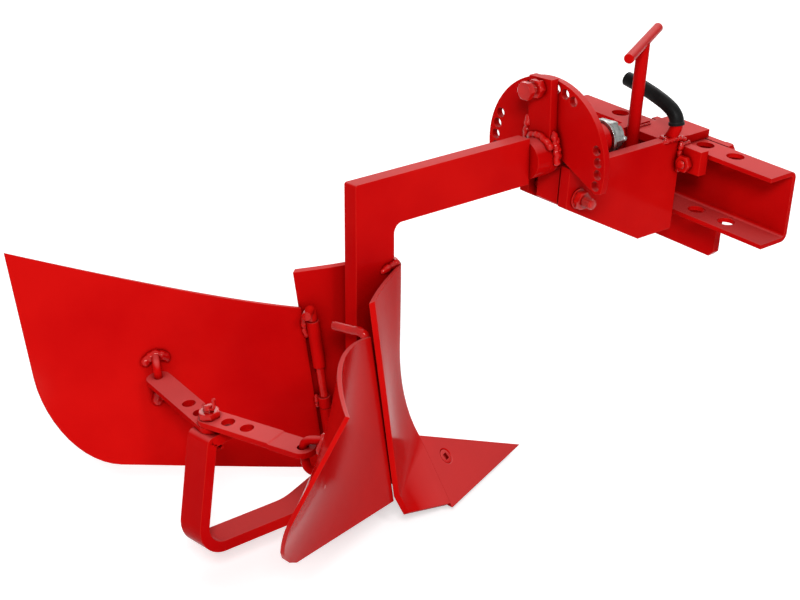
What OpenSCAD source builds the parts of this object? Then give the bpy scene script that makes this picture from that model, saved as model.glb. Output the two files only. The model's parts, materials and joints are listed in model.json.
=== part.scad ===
// Walk-behind ridger with a swivelling, pitch-adjustable hitch and two swinging wings.
// Origin: middle of the row of hitch pin holes, on the upper face of the drawbar channel.
// +X is the direction of travel, +Y is to the left, +Z is up. Sizes are in millimetres.

/* [Drawbar channel] */
// length of the channel across the machine
channel_len = 300; // [220:5:400]
// height of the channel
channel_h = 82; // [70:1:110]
// depth of the channel from its open edge to the front of its web
channel_w = 45; // [38:1:60]
// wall of the channel
channel_wall = 5; // [3:0.5:7]
// outer radius of the bends of the channel
channel_r = 9; // [7:0.5:12]
// diameter of the hitch pin holes
pin_hole_d = 20; // [14:1:24]
// spacing of the hitch pin holes
pin_pitch = 42; // [36:1:50]
// distance of the pin row from the open edge of the channel
pin_line = 22; // [18:1:26]

/* [Hitch frame] */
// distance from the pin row back to the rear face of the index disc
disc_back = 217; // [205:1:235]
// height of the swivel axis above the channel
pivot_h = 21; // [18:1:26]
// distance from the swivel axis to the outer face of a side plate
plate_half = 34; // [33.5:0.5:37]
// thickness of a side plate
plate_t = 12.5; // [10:0.5:12.5]
// rear edge of a side plate ahead of the rear face of the disc
plate_rear = 3; // [3:0.5:6]
// top edge of a side plate below the swivel axis
plate_top = 7; // [6:0.5:9]
// height of the rear edge of a side plate
plate_rear_h = 45; // [42:1:50]
// bottom edge of a side plate below the swivel axis
plate_drop = 116; // [110:1:124]
// start of the level bottom edge ahead of the disc
plate_level = 129; // [120:1:140]
// front edge of a side plate short of the channel
plate_short = 11; // [8:1:14]
// lower end of the ear that meets the channel, below the swivel axis
ear_low = 46; // [42:1:52]
// thickness of a clamp lug along the direction of travel
lug_t = 13; // [10:0.5:16]
// height of a clamp lug
lug_h = 28; // [25:0.5:32]
// reach of a clamp lug out from its side plate
lug_reach = 30; // [26:1:34]
// top of a clamp lug below the swivel axis
lug_top = 16; // [14:0.5:18]
// thickness of the top plate
top_t = 10; // [8:0.5:12]
// half width of the top plate
top_half = 28; // [24:1:34]
// reach of the tongue of the top plate back from the channel
tongue_len = 29; // [20:1:32]
// thickness of the front plate
front_t = 10; // [8:0.5:14]
// half width of the front plate
front_half = 56; // [54:1:62]
// bottom of the front plate below the swivel axis
front_drop = 158; // [140:1:170]
// chamfer of the lower corners of the front plate
front_cham = 6; // [3:0.5:10]
// top of the front plate below the top of the channel
front_gap = 2; // [1:0.5:4]
// diameter of the clamp bolts
clamp_d = 10; // [8:1:12]
// distance of a clamp bolt from the middle plane
clamp_half = 45; // [44.5:0.5:48]
// clamp bolt below the swivel axis
clamp_drop = 34; // [31:0.5:36]
// width across the flats of the clamp bolts and nuts
clamp_af = 17; // [15:1:18]
// height of a clamp nut or head
clamp_nut_h = 8; // [6:0.5:9]
// end of a clamp bolt beyond its nut
clamp_end = 3; // [1:0.5:5]

/* [Carry handle] */
// diameter of the handle rod
handle_d = 12; // [10:0.5:14]
// diameter of the rubber grip
grip_d = 16.5; // [15:0.5:20]
// foot of the handle rod behind the channel edge
handle_back = 30; // [27:1:36]
// lower end of the handle rod below the swivel axis
handle_low = 21; // [18:0.5:22]
// bend of the handle above the swivel axis
handle_bend_h = 6; // [2:1:14]
// radius of the bend of the handle
handle_bend_r = 27; // [22:1:36]
// angle through which the handle bends to the rear
handle_bend = 60; // [45:1:75]
// length of the handle beyond its bend
handle_len = 92; // [60:1:105]
// lower end of the grip above the swivel axis
grip_low = 1; // [0:0.5:5]
// rubber beyond the end of the rod
grip_cap = 4; // [2:0.5:8]

/* [Pitch screw] */
// pitch bolt ahead of the disc
pitch_x = 20; // [20:0.5:24]
// pitch bolt below the swivel axis
pitch_drop = 43; // [41:0.5:46]
// diameter of the pitch bolt
pitch_d = 14; // [12:1:16]
// width across the flats of the pitch bolt
pitch_af = 22; // [20:1:24]
// height of the head and nut of the pitch bolt
pitch_head_h = 9; // [7:0.5:11]
// adjusting screw ahead of the disc
screw_x = 140; // [136:1:144]
// diameter of the adjusting screw
screw_d = 14; // [12:0.5:16]
// middle of the cross bar above the swivel axis
bar_h = 98; // [94:1:125]
// diameter of the cross bar
bar_d = 11; // [8:0.5:12]
// length of the cross bar
bar_len = 132; // [90:2:150]
// turn of the cross bar from the direction of travel
bar_turn = 27; // [0:1:90]
// top of the screw bridge below the swivel axis
bridge_drop = 76; // [74:1:80]
// height of the screw bridge
bridge_h = 16; // [12:1:20]
// length of the screw bridge along the direction of travel
bridge_len = 28; // [24:1:32]
// diameter of the collars on the screw
collar_d = 22; // [19:0.5:24]
// height of a collar on the screw
collar_h = 6; // [4:0.5:7]
// diameter of the trunnion nut
trunnion_d = 20; // [19:0.5:21]
// length of the trunnion nut
trunnion_len = 36; // [32:1:37]

/* [Swivel] */
// outer diameter of the swivel tube
tube_d = 36; // [34:0.5:37]
// length of the swivel tube
tube_len = 85; // [80:1:90]
// diameter of the swivel shaft
shaft_d = 24; // [22:0.5:27]
// length of the swivel shaft beyond the castle nut
shaft_past = 5.7; // [4:0.1:8]
// thickness of the carrier arm
arm_t = 30; // [26:1:32]
// height of the carrier arm
arm_h = 20; // [16:1:22]
// radius of the carrier arm around the pitch bolt
arm_boss_r = 15; // [12:0.5:16]
// radius of the carrier arm around the trunnion
arm_end_r = 16; // [14:0.5:17]
// start of the carrier web ahead of the disc
web_x = 9; // [8.5:0.5:12]
// radius of the index disc
disc_r = 82.5; // [80:0.5:88]
// thickness of the index disc
disc_t = 8; // [6:0.5:8]
// radius of the circle of index holes
index_r = 73.3; // [71:0.1:74]
// diameter of an index hole
index_hole_d = 10.6; // [9:0.1:11]
// angle between neighbouring index holes
index_step = 10; // [9.5:0.5:10.5]
// number of holes in the upper group
index_top_count = 6; // [4:2:6]
// number of holes in each side group
index_side_count = 4; // [3:1:4]
// height of the point of the vee under the disc above the swivel axis
vee_h = 11.5; // [10:0.5:13]
// distance of the lower corner of the disc from the middle plane
horn_half = 73; // [70:1:75]
// lower corner of the disc below the swivel axis
horn_drop = 21.6; // [20:0.2:23]
// slope of the blunt end of the disc
horn_angle = 20; // [5:1:30]
// diameter of the hub behind the index strap
hub_d = 42; // [38:1:48]
// length of the hub
hub_len = 21; // [16:1:26]
// width of the index strap
strap_w = 32; // [28:1:38]
// thickness of the index strap
strap_t = 11; // [8:0.5:12]
// top of the index strap above the swivel axis
strap_h = 84; // [82:0.5:90]
// diameter of the index bolt
index_bolt_d = 10; // [8:0.5:10.5]
// width across the flats of the index bolt
index_af = 18; // [15:0.5:19]
// head of the index bolt behind the disc
index_head_x = 28; // [26:0.5:34]
// height of the head of the index bolt
index_head_h = 7; // [5:0.5:9]
// height of the lock nut
lock_nut_h = 9; // [6:0.5:10]
// diameter of the shaft washer
washer_d = 42.4; // [40:0.2:42.6]
// thickness of the shaft washer
washer_t = 4; // [3:0.5:5]
// width across the flats of the castle nut
castle_af = 36; // [34:0.5:36.5]
// height of the castle nut
castle_h = 18; // [16:0.5:20]
// depth of the slots of the castle nut
castle_slot = 6; // [4:0.5:7]
// diameter of the cotter pin
cotter_d = 4; // [3:0.5:4.5]
// diameter of the eye of the cotter pin
cotter_head_d = 6.4; // [5:0.2:7]

/* [Shank] */
// thickness of the shank bar
shank_t = 17.5; // [14:0.5:20]
// height of the beam
beam_h = 50; // [44:1:56]
// width of the leg along the direction of travel
leg_w = 50; // [46:1:52]
// rear face of the leg behind the disc
leg_back = 270.5; // [268:0.5:276]
// lower end of the leg below the swivel axis
leg_drop = 296; // [292:1:300]
// inner radius of the corner of the shank
shank_r = 10; // [6:0.5:16]
// outer radius of the corner of the shank
shank_corner_r = 3; // [1:0.5:8]

/* [Breast and share] */
// straight part of the ridge behind the disc
ridge_back = 211.5; // [209:0.5:212]
// top of the breast at the ridge below the swivel axis
breast_top = 65; // [60:1:70]
// end of the straight part of the ridge below the swivel axis
ridge_bend = 150; // [142:1:156]
// radius of the curved part of the ridge
ridge_r = 225; // [215:5:260]
// radius of the bent front of the breast at its top
nose_r = 22; // [21:0.5:24]
// radius of the bent front of the breast at the share
nose_low_r = 3; // [2:0.5:5]
// point of the share seam below the swivel axis
seam_drop = 268; // [264:1:271]
// thickness of the sheet of the breast
breast_wall = 5; // [4:0.5:5.5]
// drop of the inner face of the breast
breast_sag = 2; // [1:0.5:3]
// hollow of each half of the breast
breast_bow = 2; // [0:0.5:3]
// distance of the rear edge of the breast ahead of the hinge axis
breast_gap = 2; // [1.5:0.5:4]
// turn of the breast from the direction of travel
breast_angle = 32.5; // [30:0.5:35]
// upper end of the rear edge of the breast from the middle plane
breast_half = 59; // [58:0.5:62]
// lower end of the rear edge of the breast from the middle plane
breast_half_low = 57; // [56:0.5:60]
// rise of the rear edge of the breast above the top of the hinge
breast_rise = 42; // [36:1:46]
// end of the straight rear edge of the breast below the top of the hinge
breast_low = 176; // [170:1:182]
// lower rear corner of the breast below the top of the hinge
breast_foot = 202; // [198:1:206]
// lower rear corner of the breast ahead of the hinge axis
breast_toe = 10.5; // [8:0.5:16]
// lower rear corner of the breast from the middle plane
breast_foot_half = 58; // [55:1:61]
// length of the share ahead of the seam
share_len = 153; // [140:1:165]
// fall of the share from the seam to its point
share_fall = 60; // [56:1:66]
// half width of the share
share_half = 58; // [55:1:62]
// lean of the seam
seam_lean = 6; // [4:0.5:9]
// thickness of the share
share_t = 7; // [5:0.5:9]
// half width of the frog under the share
frog_half = 25; // [22:1:28]
// half width of the frog at the leg
frog_neck = 14; // [10:0.5:15]
// reach of the frog under the share
frog_len = 66; // [55:1:75]
// diameter of the share bolts
share_bolt_d = 10; // [8:0.5:11]
// diameter of the head of a share bolt
share_head_d = 18; // [16:0.5:20]
// length of a share bolt
share_bolt_len = 15; // [13:0.5:16]
// place of the share bolts along the share
share_bolt_x = 33; // [28:1:38]
// place of the share bolts down the face of the share
share_bolt_y = 22; // [18:0.5:24]

/* [Wing hinges] */
// top of the hinge behind the disc
hinge_back = 287; // [284:0.5:291]
// top of the hinge below the swivel axis
hinge_drop = 114; // [110:1:118]
// lean of the hinge axis
hinge_lean = 9; // [7:0.5:11]
// distance of the hinge axis from the middle plane
hinge_half = 40; // [39:0.5:43]
// diameter of a hinge knuckle
knuckle_d = 13; // [12:0.5:14]
// diameter of a hinge pin
hinge_pin_d = 8; // [7:0.5:9]
// top of the upper wing knuckle below the top of the hinge
knuckle_top = 9; // [7:0.5:12]
// length of the upper wing knuckle
knuckle_len = 52; // [44:1:60]
// length of the lower wing knuckle
ring_len = 12; // [8:1:16]
// lower wing knuckle ends below the top of the hinge
ring_end = 107.6; // [100:0.2:112]
// length of the lower breast knuckle
foot_len = 56; // [44:1:60]
// bend of the hinge pin above the top of the hinge
pin_rise = 1; // [0:0.5:4]
// length of the arm of the right hinge pin
pin_arm_right = 42; // [30:1:48]
// length of the arm of the left hinge pin
pin_arm_left = 18; // [14:1:24]
// turn of the arm of the left hinge pin from the direction of travel
pin_turn_left = 216; // [200:1:250]
// width of the leaf that joins a breast knuckle to the breast
leaf_w = 9; // [7:0.5:11]
// lower end of a hinge pin below the top of the hinge
pin_low = 172; // [168:1:178]

/* [Wings] */
// thickness of the wing sheet
wing_t = 4; // [3:0.5:5]
// front edge of a wing behind the hinge axis
wing_root_back = 3; // [2:0.5:5]
// turn of the front edge of a wing from the direction of travel
wing_root_angle = 22; // [20:0.5:24]
// top front corner of a wing above the top of the hinge
wing_root_rise = 4; // [0:0.5:8]
// lower front corner of a wing below the top of the hinge
wing_root_drop = 183; // [176:1:188]
// straight lead of the top edge of a wing
wing_bow = 84; // [70:1:96]
// tip of a wing behind the hinge axis
wing_tip_back = 198; // [180:1:220]
// tip of a wing from the middle plane
wing_tip_half = 259; // [240:1:280]
// tip of a wing above the top of the hinge
wing_tip_rise = 86; // [76:1:96]
// lower rear corner of a wing behind the hinge axis
wing_heel_back = 248; // [236:1:258]
// lower rear corner of a wing from the middle plane
wing_heel_half = 161; // [155:1:167]
// lower rear corner of a wing below the top of the hinge
wing_heel_drop = 96; // [88:1:104]

/* [Links] */
// middle of the left link down from the top of the hinge
link_drop = 34; // [33:0.5:36]
// width of a link
link_w = 24; // [22:0.5:26]
// thickness of a link
link_t = 6; // [5:0.5:6.5]
// link pin behind the hinge axis
link_pin_back = 163; // [160:0.5:167]
// diameter of the link pin
link_pin_d = 12; // [10:0.5:12.5]
// diameter of the free holes of a link
link_hole_d = 13; // [12.6:0.2:14]
// spacing of the holes of a link
link_pitch = 23; // [20:0.5:24]
// start of the offset of the right link from the link pin
jog_start = 76; // [74:0.5:80]
// length of the offset of the right link
jog_len = 9; // [8:0.5:10]
// diameter of the bar of a wing staple
staple_d = 8; // [7:0.5:9]
// height of a wing staple between the middles of its legs
staple_h = 34; // [30:1:38]
// middle of a wing staple below the link
staple_below = 1.5; // [0:0.5:4]
// reach of a wing staple from the wing
staple_reach = 20; // [18:0.5:22]
// radius of the bends of a wing staple
staple_r = 9; // [8:0.5:11]
// width across the flats of the nut of the link pin
link_nut_af = 19; // [17:0.5:21]
// height of the nut of the link pin
link_nut_h = 8; // [6:0.5:9]
// end of the link pin above its nut
link_pin_end = 9; // [7:0.5:12]
// diameter of the spring clip
clip_d = 3; // [2:0.5:3.5]
// length of the arm of the spring clip
clip_arm = 20; // [14:1:24]
// end of the link pin below the heel strap
pin_foot_end = 12; // [8:0.5:14]

/* [Heel strap] */
// width of the heel strap
heel_w = 31; // [26:0.5:34]
// thickness of the heel strap
heel_t = 11; // [9:0.5:12]
// reach of its tab ahead of the link pin
tab_front = 15; // [13:0.5:18]
// upper bend behind the link pin
tab_back = 18; // [16:0.5:22]
// lower bend behind the disc
heel_back = 475; // [465:1:485]
// level run below the swivel axis
heel_drop = 294; // [288:1:300]
// end of the level run behind the disc
heel_run = 345; // [325:1:360]
// end at the leg below the swivel axis
heel_end_drop = 266; // [260:1:270]
// radius of the upper bend along the middle of the strap
tab_r = 11; // [9:0.5:13]
// radius of the lower bend along the middle of the strap
heel_r = 24; // [18:1:32]
// radius of the bend ahead of the level run
heel_run_r = 60; // [40:2:80]

/* [Fits] */
// running clearance on a radius
run_gap = 0.05; // [0.03:0.01:0.09]
// side clearance between moving pieces
side_gap = 0.3; // [0.3:0.05:0.5]
// seating gap of a wing on its knuckles
wing_seat = 0.55; // [0.5:0.05:0.8]
// seating gap of a staple on its wing
staple_seat = 0.3; // [0.2:0.05:0.5]
// setback of the leaf of a knuckle from the hollow side of the breast
leaf_gap = 2.6; // [2.5:0.1:3]

/* [Hidden] */
$fn = 72;

// overrun of every cut
over = 1;
// reach of a cut that takes away a whole side
far = 400;
// colours
paint = [0.78, 0.04, 0.05];
rubber = [0.05, 0.05, 0.05];
zinc = [0.72, 0.72, 0.70];
// the index bolt stands half a step beside the upright
roll_set = -index_step / 2;

// places along the hitch, ahead of the rear face of the disc
edge_x = disc_back - pin_line;
web_front = edge_x + channel_w;
plate_front = edge_x - plate_short;
plate_in = plate_half - plate_t;
front_x = web_front;
lug_x = edge_x - lug_t;
handle_y = -(plate_half + handle_d / 2 + run_gap);
handle_x = edge_x - handle_back;
hex_share = 1 / sqrt(3);
castle_x = tube_len + side_gap + washer_t;
shaft_end = castle_x + castle_h + shaft_past;
cotter_x = castle_x + castle_h - castle_slot / 2;
cotter_len = 2 * (plate_in - 2 * side_gap) - cotter_head_d;
crown_share = 0.86;

// shape of the breast and the share
apex_x = -ridge_back + ridge_x(seam_drop);
apex = [apex_x, 0, -seam_drop];
seam_corner = [apex_x - share_fall * tan(seam_lean), share_half, -seam_drop - share_fall];
share_pitch = atan2(share_fall, share_len);
seam_fore = -share_fall * tan(seam_lean) * cos(share_pitch) + share_fall * sin(share_pitch);
seam_down = share_fall * tan(seam_lean) * sin(share_pitch) + share_fall * cos(share_pitch);
roof_share = seam_down / share_half;
roof_half = atan2(share_half, seam_down);
roof_depth = share_t / sin(roof_half);
seam_end_share = 0.92;
breast_end = mix(apex, seam_corner, seam_end_share);
nose_turn = 90 - breast_angle;
breast_in = breast_wall * (1 - sin(breast_angle)) / cos(breast_angle);
half_share = 0.5;
leaf_len = breast_gap * sin(breast_angle) + (breast_half_low - hinge_half) * cos(breast_angle)
    - breast_wall - leaf_gap;

// shape of the wings, about the top of the hinge
wing_root = hinge_half
    + (knuckle_d / 2 + wing_t + wing_seat + wing_root_back * sin(wing_root_angle)) / cos(wing_root_angle);
wing_a = [-wing_root_back, wing_root, wing_root_rise];
wing_c = [-wing_tip_back, wing_tip_half, wing_tip_rise];
bow_rise_share = 0.4;
wing_b = [
    wing_a[0] - wing_bow * cos(wing_root_angle),
    wing_a[1] + wing_bow * sin(wing_root_angle),
    mix(wing_root_rise, wing_tip_rise, bow_rise_share)
];
wing_d = [-wing_root_back, wing_root, -wing_root_drop];
wing_e = [-wing_heel_back, wing_heel_half, -wing_heel_drop];
round_start_share = 0.76;
round_top_share = 0.6;
wing_steps = 24;
wing_rows = 8;
arc_steps = 8;
rod_sides = 36;
breast_cols = 6;
nose_cols = 5;
breast_rows = 14;
seam_rows = 6;
probe_share = 0.001;
eye_shares = [0.6, 0.47];

// places of the links, about the top of the hinge
eye_skin = wing_pt(eye_shares[0], eye_shares[1]) + wing_normal(eye_shares[0], eye_shares[1]) * wing_t;
eye_normal = wing_normal(eye_shares[0], eye_shares[1]);
eye_flat = norm([eye_normal[0], eye_normal[1]]);
eye = [
    eye_skin[0] + staple_reach * eye_normal[0] / eye_flat,
    eye_skin[1] + staple_reach * eye_normal[1] / eye_flat
];
pin_spot = [-link_pin_back, 0];
link_len = norm(eye - pin_spot);
link_turn = atan2(eye[1], eye[0] + link_pin_back);
low_r = -link_drop;
high_r = low_r + link_t + side_gap;
tab_r_top = low_r - link_t / 2 - side_gap;
tab_mid = to_body([-link_pin_back, 0, tab_r_top - heel_t / 2]);
staple_mid = low_r - staple_below;

function mix(a, b, t) = a + (b - a) * t;

function unit(v) = v / norm(v);

// forward sweep of the ridge at a depth below the swivel axis
function ridge_x(d) = d > ridge_bend ? ridge_r - sqrt(ridge_r * ridge_r - pow(d - ridge_bend, 2)) : 0;

// from the leaning hinge frame to the frame of the ridging body
function to_body(v) = [
    -hinge_back + v[0] * cos(hinge_lean) - v[2] * sin(hinge_lean),
    v[1],
    -hinge_drop + v[0] * sin(hinge_lean) + v[2] * cos(hinge_lean)
];

// top edge, bottom edge and skin of the left wing
function wing_top(s) = mix(mix(wing_a, wing_b, s), mix(wing_b, wing_c, s), s);
function wing_low(s) = mix(wing_d, wing_e, s);
function wing_pt(s, t) = mix(wing_top(s), wing_low(s), t);
function wing_normal(s, t) = unit(cross(
    wing_pt(s + probe_share, t) - wing_pt(s - probe_share, t),
    wing_pt(s, t + probe_share) - wing_pt(s, t - probe_share)
));
function wing_end(s) = s <= round_start_share ? 1 : mix(
    round_top_share, 1,
    sqrt(max(0, 1 - pow((s - round_start_share) / (1 - round_start_share), 2)))
);
function wing_s(i) = i <= wing_steps / 2
    ? round_start_share * i / (wing_steps / 2)
    : round_start_share + (1 - round_start_share) * sin(90 * (i - wing_steps / 2) / (wing_steps / 2));
function wing_skin(depth) = [
    for (i = [0 : wing_steps]) [
        for (j = [0 : wing_rows])
            let (s = wing_s(i), t = wing_end(wing_s(i)) * j / wing_rows)
            wing_pt(s, t) + wing_normal(s, t) * depth
    ]
];

// front and rear edges of the left half of the breast
function breast_front(k) = k <= breast_rows
    ? let (d = mix(breast_top, seam_drop, k / breast_rows)) [-ridge_back + ridge_x(d), 0, -d]
    : mix(apex, breast_end, (k - breast_rows) / seam_rows);
function breast_rear(k) = k <= breast_rows
    ? to_body([
        breast_gap,
        mix(breast_half, breast_half_low, k / breast_rows),
        mix(breast_rise, -breast_low, k / breast_rows)
    ])
    : mix(
        to_body([breast_gap, breast_half_low, -breast_low]),
        to_body([breast_toe, breast_foot_half, -breast_foot]),
        (k - breast_rows) / seam_rows
    );
// radius of the bent front and hollow of the side in each row
function nose_at(k) = mix(nose_r, nose_low_r, pow(min(1, k / breast_rows), 2));
function bow_at(k) = breast_bow * (1 - max(0, (k - breast_rows) / seam_rows));
function nose_pt(k, u) = breast_front(k) + nose_at(k) * [cos(u) - 1, sin(u), 0];
function side_pt(k, t) = mix(nose_pt(k, nose_turn), breast_rear(k), t)
    - bow_at(k) * sin(180 * t) * [sin(breast_angle), cos(breast_angle), 0];
function breast_pt(i, k) = i <= nose_cols
    ? nose_pt(k, nose_turn * i / nose_cols)
    : side_pt(k, (i - nose_cols) / breast_cols);
function breast_inner(p) = p - [breast_wall, min(breast_in, half_share * p[1]), breast_sag];
function breast_col(i) = [for (k = [0 : breast_rows + seam_rows]) breast_pt(i, k)];
function breast_back(i) = [for (p = breast_col(i)) breast_inner(p)];

// rounded centre line through a list of points, one radius per inner point
function corner_arc(a, b, c, r) =
    let (
        u = unit(a - b),
        w = unit(c - b),
        half = acos(u * w) / 2,
        mid = b + unit(u + w) * r / sin(half),
        start = b + u * r / tan(half) - mid,
        stop = b + w * r / tan(half) - mid,
        sweep = (cross(start, stop) > 0 ? 1 : -1) * (180 - 2 * half)
    )
    [
        for (i = [0 : arc_steps])
            let (g = sweep * i / arc_steps)
            mid + [start[0] * cos(g) - start[1] * sin(g), start[0] * sin(g) + start[1] * cos(g)]
    ];
function rounded_path(p, r) = concat(
    [p[0]],
    [for (i = [1 : len(p) - 2]) for (q = corner_arc(p[i - 1], p[i], p[i + 1], r[i - 1])) q],
    [p[len(p) - 1]]
);
function path_dir(p, i) =
    unit(p[min(i + 1, len(p) - 1)] - p[max(i - 1, 0)]);
function path_side(p, d) = [
    for (i = [0 : len(p) - 1])
        let (u = path_dir(p, i))
        p[i] + d * [-u[1], u[0]]
];
function strip_outline(p, t) = concat(
    path_side(p, t / 2),
    let (q = path_side(p, -t / 2)) [for (i = [len(q) - 1 : -1 : 0]) q[i]]
);

// frames
module at_pivot() {
    translate([-disc_back, 0, pivot_h]) children();
}

module on_body() {
    at_pivot() rotate([roll_set, 0, 0]) children();
}

module on_hinge() {
    on_body() translate([-hinge_back, 0, -hinge_drop]) rotate([0, -hinge_lean, 0]) children();
}

module on_share() {
    translate(apex) rotate([0, share_pitch, 0]) children();
}

module both() {
    children();
    mirror([0, 1, 0]) children();
}

// prisms along the three axes
module along_x(x, len) {
    translate([x, 0, 0]) rotate([90, 0, 90]) linear_extrude(len) children();
}

module along_y(y, len) {
    translate([0, y + len, 0]) rotate([90, 0, 0]) linear_extrude(len) children();
}

module along_z(z, len) {
    translate([0, 0, z]) linear_extrude(len) children();
}

module hexagon(af) {
    circle(r = af * hex_share, $fn = 6);
}

// closed skin between an outer and an inner grid of points
module shell(skin, back) {
    n = len(skin) - 1;
    m = len(skin[0]) - 1;
    w = m + 1;
    b = (n + 1) * w;
    points = concat([for (row = skin) for (p = row) p], [for (row = back) for (p = row) p]);
    faces = concat(
        [for (i = [0 : n - 1]) for (j = [0 : m - 1]) [i * w + j, (i + 1) * w + j, (i + 1) * w + j + 1]],
        [for (i = [0 : n - 1]) for (j = [0 : m - 1]) [i * w + j, (i + 1) * w + j + 1, i * w + j + 1]],
        [for (i = [0 : n - 1]) for (j = [0 : m - 1])
            [b + i * w + j, b + (i + 1) * w + j + 1, b + (i + 1) * w + j]],
        [for (i = [0 : n - 1]) for (j = [0 : m - 1])
            [b + i * w + j, b + i * w + j + 1, b + (i + 1) * w + j + 1]],
        [for (i = [0 : n - 1]) [(i + 1) * w, i * w, b + i * w]],
        [for (i = [0 : n - 1]) [(i + 1) * w, b + i * w, b + (i + 1) * w]],
        [for (i = [0 : n - 1]) [i * w + m, (i + 1) * w + m, b + (i + 1) * w + m]],
        [for (i = [0 : n - 1]) [i * w + m, b + (i + 1) * w + m, b + i * w + m]],
        [for (j = [0 : m - 1]) [j, j + 1, b + j + 1]],
        [for (j = [0 : m - 1]) [j, b + j + 1, b + j]],
        [for (j = [0 : m - 1]) [n * w + j + 1, n * w + j, b + n * w + j]],
        [for (j = [0 : m - 1]) [n * w + j + 1, b + n * w + j, b + n * w + j + 1]]
    );
    polyhedron(points, faces, convexity = 6);
}

// drawbar channel, open to the rear
module channel_profile() {
    difference() {
        union() {
            translate([0, -channel_h]) square([channel_w - channel_r, channel_h]);
            translate([0, channel_r - channel_h]) square([channel_w, channel_h - 2 * channel_r]);
            for (z = [-channel_r, channel_r - channel_h]) {
                translate([channel_w - channel_r, z]) circle(r = channel_r);
            }
        }
        channel_bore();
    }
}

module channel_bore() {
    r = channel_r - channel_wall;
    translate([-over, channel_wall - channel_h]) {
        square([over + channel_w - channel_r, channel_h - 2 * channel_wall]);
    }
    translate([-over, channel_r - channel_h]) {
        square([over + channel_w - channel_wall, channel_h - 2 * channel_r]);
    }
    for (z = [-channel_r, channel_r - channel_h]) {
        translate([channel_w - channel_r, z]) circle(r = r);
    }
}

module drawbar_channel() {
    color(paint) difference() {
        translate([-pin_line, 0, 0]) along_y(-channel_len / 2, channel_len) channel_profile();
        both() for (k = [1, 2]) {
            translate([0, k * pin_pitch, -channel_h - over]) {
                cylinder(d = pin_hole_d, h = channel_h + 2 * over);
            }
        }
        at_pivot() clamp_holes(web_front - channel_wall - over, channel_wall + 2 * over);
    }
}

module clamp_holes(x, len) {
    both() translate([0, clamp_half, -clamp_drop]) along_x(x, len) circle(d = clamp_d + 2 * run_gap);
}

module top_plate() {
    color(paint) at_pivot() translate([0, 0, -pivot_h]) linear_extrude(top_t) {
        translate([edge_x, -top_half]) square([channel_w, 2 * top_half]);
        translate([edge_x - tongue_len, -plate_in]) square([tongue_len + over, 2 * plate_in]);
    }
}

module front_plate() {
    top = -pivot_h - front_gap;
    color(paint) at_pivot() difference() {
        along_x(front_x, front_t) polygon([
            [-front_half, top],
            [front_half, top],
            [front_half, -front_drop + front_cham],
            [front_half - front_cham, -front_drop],
            [-front_half + front_cham, -front_drop],
            [-front_half, -front_drop + front_cham]
        ]);
        clamp_holes(front_x - over, front_t + 2 * over);
    }
}

module side_plate() {
    at_pivot() difference() {
        along_y(plate_in, plate_t) polygon([
            [plate_rear, -plate_top],
            [plate_rear, -plate_top - plate_rear_h],
            [plate_level, -plate_drop],
            [plate_front, -plate_drop],
            [plate_front, -ear_low],
            [edge_x, -ear_low],
            [edge_x, -plate_top]
        ]);
        along_y(plate_in - over, plate_t + 2 * over) pitch_hole();
    }
}

module pitch_hole() {
    translate([pitch_x, -pitch_drop]) circle(d = pitch_d + 2 * run_gap);
}

module side_plate_left() {
    color(paint) side_plate();
}

module side_plate_right() {
    color(paint) mirror([0, 1, 0]) side_plate();
}

module clamp_lugs() {
    color(paint) at_pivot() difference() {
        both() translate([lug_x, plate_half, -lug_top - lug_h]) cube([lug_t, lug_reach, lug_h]);
        clamp_holes(lug_x - over, lug_t + 2 * over);
    }
}

module clamp_bolts() {
    tail = lug_x - clamp_nut_h - clamp_end;
    head = front_x + front_t;
    color(zinc) at_pivot() both() translate([0, clamp_half, -clamp_drop]) {
        along_x(tail, head - tail + over) circle(d = clamp_d);
        along_x(head, clamp_nut_h) hexagon(clamp_af);
    }
}

module clamp_nuts() {
    color(zinc) at_pivot() both() translate([0, clamp_half, -clamp_drop]) {
        along_x(lug_x - clamp_nut_h, clamp_nut_h) difference() {
            hexagon(clamp_af);
            circle(d = clamp_d + 2 * run_gap);
        }
    }
}

// centre line of the handle, from a height below its bend to a length beyond it
function handle_line(low, end) =
    let (
        lead = handle_bend_r * tan(handle_bend / 2),
        knee = [handle_x, handle_bend_h + lead]
    )
    rounded_path(
        [[handle_x, low], knee, knee + (lead + end) * [-sin(handle_bend), cos(handle_bend)]],
        [handle_bend_r]
    );

// round rod along a bent line in an upright plane
module bent_rod(line, d) {
    n = len(line);
    k = rod_sides;
    points = [
        for (i = [0 : n - 1])
            for (j = [0 : k - 1])
                let (u = path_dir(line, i), a = 360 * j / k)
                [line[i][0] - u[1] * cos(a) * d / 2, sin(a) * d / 2, line[i][1] + u[0] * cos(a) * d / 2]
    ];
    faces = concat(
        [[for (j = [k - 1 : -1 : 0]) j]],
        [[for (j = [0 : k - 1]) (n - 1) * k + j]],
        [for (i = [0 : n - 2]) for (j = [0 : k - 1])
            [i * k + j, i * k + (j + 1) % k, (i + 1) * k + (j + 1) % k]],
        [for (i = [0 : n - 2]) for (j = [0 : k - 1])
            [i * k + j, (i + 1) * k + (j + 1) % k, (i + 1) * k + j]]
    );
    polyhedron(points, faces, convexity = 4);
}

module handle_path(low, d, end) {
    translate([0, handle_y, 0]) bent_rod(handle_line(low, end), d);
}

module carry_handle() {
    color(paint) at_pivot() handle_path(-handle_low, handle_d, handle_len);
}

module handle_grip() {
    color(rubber) at_pivot() difference() {
        handle_path(grip_low, grip_d, handle_len + grip_cap);
        handle_path(grip_low - over, handle_d + 2 * run_gap, handle_len);
    }
}

module pitch_bolt() {
    reach = 2 * plate_half + pitch_head_h + clamp_end;
    color(paint) at_pivot() translate([pitch_x, 0, -pitch_drop]) {
        along_y(-plate_half, reach) circle(d = pitch_d);
        along_y(-plate_half - pitch_head_h, pitch_head_h) hexagon(pitch_af);
    }
}

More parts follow.
